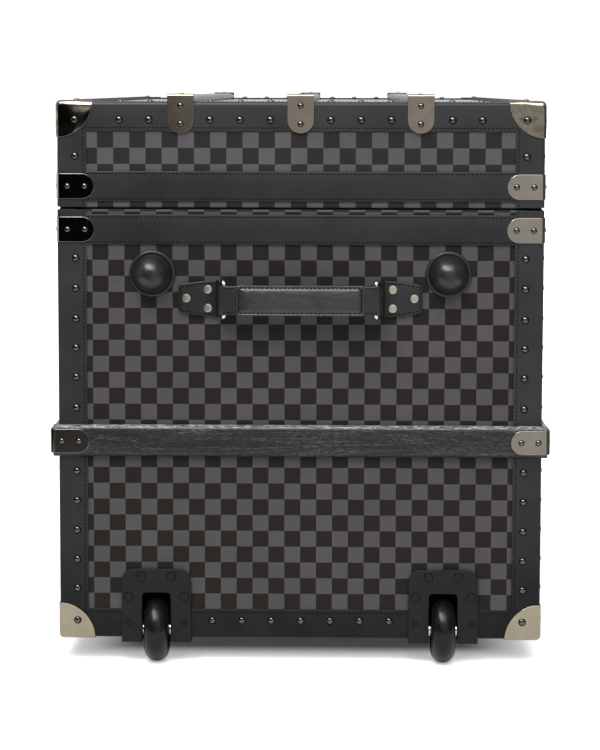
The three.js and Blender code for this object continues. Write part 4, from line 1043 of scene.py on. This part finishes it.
for end in ends:
    place = faces[end] @ moved(0, handle["level"], -handle["canvas"])
    flip = place @ mirrored(x=-1)
    gripBody, gripNode, slot = "grip_" + end, [end + "_handle_grip"], "handle_leather"
    anchors = [end + "_handle_anchor_left", end + "_handle_anchor_right"]
    rivetSpots = [spot @ moved(u, v, tabTop) for spot in (place, flip) for u, v in handle["tabRivets"]]
    eyes = [place @ moved(s * handle["ring"], 0, handle["front"]) for s in sides]
    placePiece(end + "_handle_tabs", [(tabMesh, [place, flip])], tabLeather, "body", slot, anchors, sharp=50)
    placePiece(end + "_handle_rings", [(ringMesh, [place, flip])], ringMetal, "body", "bright_metal",
               anchors, sharp=60)
    placePiece(end + "_handle_rivets", [(flatRivet, rivetSpots)], rivetMetal, "body", "bright_metal", sharp=40)
    placePiece(end + "_handle_strap", [(strapMesh, [place]), (eyeMesh, eyes)], handleLeather,
               gripBody, slot, gripNode, sharp=45)
    stuffed = placePiece(end + "_handle_pad", [(padMesh, [place])], gripLeather,
                         gripBody, slot, gripNode, sharp=70)
    # Stitches go round the padded cover, along the strap's ends and round each tab.
    across, high = pad["half"] - pad["stitchIn"], pad["high"] - pad["stitchIn"]
    lift, rows = pad["lip"] - pad["valley"] + pad["stitchLift"], []
    for side in sides:
        rows += gripRow(place, (-across, side * high), (across, side * high), lift, 14)
        rows += gripRow(place, (side * across, -high), (side * across, high), lift)
        for v in rowPlaces["strapLevels"]:
            rows += gripRow(place, (side * rowPlaces["strapFrom"], v), (side * rowPlaces["strapTo"], v), 0)
    placePiece(end + "_grip_stitching", [(saddleStitch, rows)], blackThreadAndShade, gripBody, slot)
    placePiece(end + "_tab_stitching", [(saddleStitch, tabRows(place) + tabRows(flip))], blackThreadAndShade, "body", slot)
print("handles done")

rail = {"reach": 229.7, "radius": 9.5, "flange": 19, "thick": 4, "y": 367.5, "z": 287}
wallFace, inFace = -rail["reach"], -rail["reach"] + rail["thick"]
profile = [(0, wallFace), (rail["flange"] - 1, wallFace), (rail["flange"], wallFace + 1),
           (rail["flange"], inFace), (rail["radius"] + 2, inFace + 0.1), (rail["radius"], inFace + 2)]
railMesh = spunSample(profile + [(r, -h) for r, h in profile[::-1]], 40)
placePiece("hanging_rail_tube", [(railMesh, [moved(0, rail["y"], rail["z"]) @ turned("Y", 90)])],
           steel, "body", "steel", ["hanging_rail"], sharp=40)

# Piano hinge: the body's leaf owns every other knuckle and the pin.
hinge = {
    "length": 650, "knuckles": 13, "radius": 3.9, "back": 242.8, "leaf": 1.4, "reach": 27, "axis": 246.9,
    "gap": 0.5, "clear": 0.5, "pin": 1.8, "pinShort": 60, "screwPitch": 50, "screwRise": 17,
    "head": (2.9, 0.8, 16, 2, 0.2),
}


def hingeLeaf(up, owns):
    bm = bmesh.new()
    half, pitch = hinge["length"] / 2, hinge["length"] / hinge["knuckles"]
    back, front, clear = hinge["back"], hinge["back"] + hinge["leaf"], hinge["radius"] + hinge["clear"]
    low, high = sorted((seam + up * clear, seam + up * hinge["reach"]))
    addBox(bm, (back, -half, low), (front, half, high))
    for index in range(owns, hinge["knuckles"], 2):
        start = -half + index * pitch + hinge["gap"] / 2
        end = start + pitch - hinge["gap"]
        low, high = sorted((seam + up * hinge["clear"], seam + up * (clear + 0.2)))
        addBox(bm, (back, start, low), (front, end, high))
        addRod(bm, hinge["radius"], end - start, (hinge["axis"], (start + end) / 2, seam), 28)
    return bm


flatHead = domeSample(*hinge["head"])
for part, up, owns in (("body", -1, 0), ("lid", 1, 1)):
    node = "hinge_" + part + "_leaf"
    bm = hingeLeaf(up, owns)
    if part == "body":
        addRod(bm, hinge["pin"], hinge["length"] - hinge["pinShort"], (hinge["axis"], 0, seam), 20)
    finishPiece(node + "_look", bm, nickel, part, "bright_metal", [node], soften=0.22, sharp=30)
    out = hinge["back"] + hinge["leaf"] - halfWidth
    heads = [faces["right"] @ moved(step * hinge["screwPitch"], seam + up * hinge["screwRise"], out)
             for step in range(-6, 7)]
    placePiece(node + "_screws", [(flatHead, heads)], rivetMetal, part, "bright_metal", sharp=40)

latch = {
    "places": {"near": -210, "far": 210}, "caseHead": (2.3, 0.8, 16, 2, 0.2),
    "caseRivets": (20, (448, 420), 5.2), "plateRivets": (16, (487,), 2.8),
}
caseHead = domeSample(*latch["caseHead"])
for end, y in latch["places"].items():
    for stem, body, finish, slot, soften in (
            ("latch_case_", "body", nickel, "bright_metal", 0.4),
            ("latch_plate_", "lid", nickel, "bright_metal", 0.3),
            ("latch_hasp_", "hasp_" + end, nickel, "bright_metal", 0.35),
            ("latch_barrel_", "barrel_" + end, steel, "steel", 0.25)):
        node = stem + end
        finishPiece(node + "_look", copyOfNode(node), finish, body, slot, [node], soften=soften, sharp=30)
    for stem, part, head in (("case", "body", caseHead), ("plate", "lid", flatHead)):
        across, levels, out = latch[stem + "Rivets"]
        spots = [faces["left"] @ moved(-y + s * across, z, out) for s in sides for z in levels]
        placePiece("latch_" + stem + "_" + end + "_rivets", [(head, spots)], rivetMetal,
                   part, "bright_metal", sharp=40)
print("hinge and latches done")


def stagePlane(name, size, place, turn, tone, glow=0.0, glossOnly=False):
    bm = bmesh.new()
    bmesh.ops.create_grid(bm, x_segments=1, y_segments=1, size=0.5)
    bmesh.ops.scale(bm, vec=(*size, 1), verts=bm.verts)
    bmesh.ops.transform(bm, matrix=moved(*place) @ turn, verts=bm.verts)
    mesh = bpy.data.meshes.new(name)
    bm.to_mesh(mesh)
    bm.free()
    finish, tree, shader = startFinish(name + "Finish")
    setInputs(shader, Base_Color=(tone, tone, tone, 1), Roughness=0.9, Specular_IOR_Level=0.0,
              Emission_Color=(1, 1, 1, 1), Emission_Strength=glow)
    mesh.materials.append(finish)
    plane = addObject(name, mesh)
    if glossOnly:
        plane.visible_camera = plane.visible_diffuse = plane.visible_shadow = False
    return tree, shader


# The photo's floor is burnt out, so this one glows a little, and more away from the trunk,
# where the eye alone sees it.
floorGlow = {"beside": (0.165, 0.235), "before": (-0.368, -0.408), "plain": 0.045, "burnt": 0.4}
tree, shader = stagePlane("paleFloor", (60, 60), (0, 0, 0), Matrix.Identity(4), 0.9)
spot = objectPoint(tree)
beside = mapped(tree, absolute(tree, along(tree, spot, "X")), *floorGlow["beside"], smooth=True)
before = mapped(tree, along(tree, spot, "Y"), *floorGlow["before"], smooth=True)
burnt = mixOf(tree, beside, before, (1, 1, 1))
seenGlow = mixOf(tree, addNode(tree, "LightPath").outputs["Is Camera Ray"], (0, 0, 0), burnt)
setInputs(shader, Emission_Strength=mapped(tree, seenGlow, 0, 1, floorGlow["plain"], floorGlow["burnt"]))

# Cards stand round the front, where only gloss sees them: dark ones to the left and pale ones to the right.
cards = {
    "darkCard": {"middle": (-0.715, -1.2, 0.41), "size": (1.17, 0.8), "turn": 0, "glow": 0.0},
    "sideCard": {"middle": (-1.3, -1.025, 0.41), "size": (0.35, 0.8), "turn": 90, "glow": 0.0},
    "lowSideCard": {"middle": (-1.31, -0.1, 0.16), "size": (1.5, 0.3), "turn": 90, "glow": 0.0},
    "paleCard": {"middle": (0.435, -1.2, 0.41), "size": (1.13, 0.8), "turn": 0, "glow": 0.72},
    "paleSideCard": {"middle": (1.02, -0.35, 0.41), "size": (1.7, 0.8), "turn": 90, "glow": 0.15},
}
black = 0.004
for name, card in cards.items():
    upright = turned("Z", card["turn"]) @ turned("X", 90)
    tree, shader = stagePlane(name, card["size"], card["middle"], upright, black, card["glow"], glossOnly=True)
    if name == "darkCard":  # The photo's left brackets turn from black at the lid to dark brown at the slat.
        height = along(tree, objectPoint(tree), "Z")
        setInputs(shader, Emission_Strength=mapped(tree, height, 0.03, 0.3, 0.1, 0.0))

trunkFront = (0, -0.44, 0.35)
lamps = {
    "keyLight": {"place": (-0.6, -2.0, 2.35), "size": (0.9, 0.7), "power": 22},
    "domeGleam": {"place": (-0.9, -1.25, 2.35), "size": (1.2, 0.8), "glow": 16},
    "softSkyLight": {"way": (0.0, 0.8, -1), "power": 3.4, "spread": 50},
}


def addLight(name, kind, way, power):
    lamp = bpy.data.lights.new(name, kind)
    lamp.energy = power
    light = addObject(name, lamp)
    light.rotation_euler = Vector(way).to_track_quat("-Z", "Y").to_euler()
    return light


key = lamps["keyLight"]
keyLight = addLight("keyLight", "AREA", Vector(trunkFront) - Vector(key["place"]), key["power"])
keyLight.location, keyLight.visible_camera, keyLight.data.shape = key["place"], False, "RECTANGLE"
keyLight.data.size, keyLight.data.size_y = key["size"]
gleam = lamps["domeGleam"]
facingTrunk = (Vector(trunkFront) - Vector(gleam["place"])).to_track_quat("Z", "Y").to_matrix().to_4x4()
stagePlane("domeGleam", gleam["size"], gleam["place"], facingTrunk, black, gleam["glow"], glossOnly=True)
skyLight = addLight("softSkyLight", "SUN", lamps["softSkyLight"]["way"], lamps["softSkyLight"]["power"])
skyLight.data.angle = math.radians(lamps["softSkyLight"]["spread"])

# The studio is white to the eye, dimmer towards the camera's side for the light that it gives.
world = bpy.data.worlds.new("studio")
bpy.context.scene.world = world
world.use_nodes = True
sky = world.node_tree
background = sky.nodes["Background"]
fromSide = mapped(sky, along(sky, addNode(sky, "TexCoord").outputs["Generated"], "Y"), -0.9, 0.5, 0.22, 0.7)
setInputs(background, Color=(1, 1, 1, 1), Strength=fromSide)
white = addNode(sky, "Background", Color=(1, 1, 1, 1), Strength=1.05)
seen = addNode(sky, "MixShader", Fac=addNode(sky, "LightPath").outputs["Is Camera Ray"])
sky.links.new(background.outputs[0], seen.inputs[1])
sky.links.new(white.outputs[0], seen.inputs[2])
sky.links.new(seen.outputs[0], sky.nodes["World Output"].inputs["Surface"])
bpy.context.scene.view_settings.view_transform = "Standard"

# Yaw, pitch and roll are degrees, fitted with the place and the lens to the photo's nails, bands and edges.
view = {
    "place": (34.7, -2659.2, 578.0), "yaw": -0.904, "pitch": 5.018, "roll": 0.12,
    "lens": 107.42, "sensor": 36, "shift": -0.12, "farthest": 100,
}
yaw, pitch = math.radians(view["yaw"]), math.radians(view["pitch"])
ahead = Vector((math.sin(yaw) * math.cos(pitch), math.cos(yaw) * math.cos(pitch), -math.sin(pitch)))
lens = bpy.data.cameras.new("camera")
lens.lens, lens.sensor_width, lens.clip_end = view["lens"], view["sensor"], view["farthest"]
lens.shift_y = view["shift"]
camera = addObject("camera", lens)
camera.matrix_world = (Matrix.Translation(Vector(view["place"]) * mm)
                       @ ahead.to_track_quat("-Z", "Y").to_matrix().to_4x4() @ turned("Z", view["roll"]))
bpy.context.scene.camera = camera
print("stage ready")
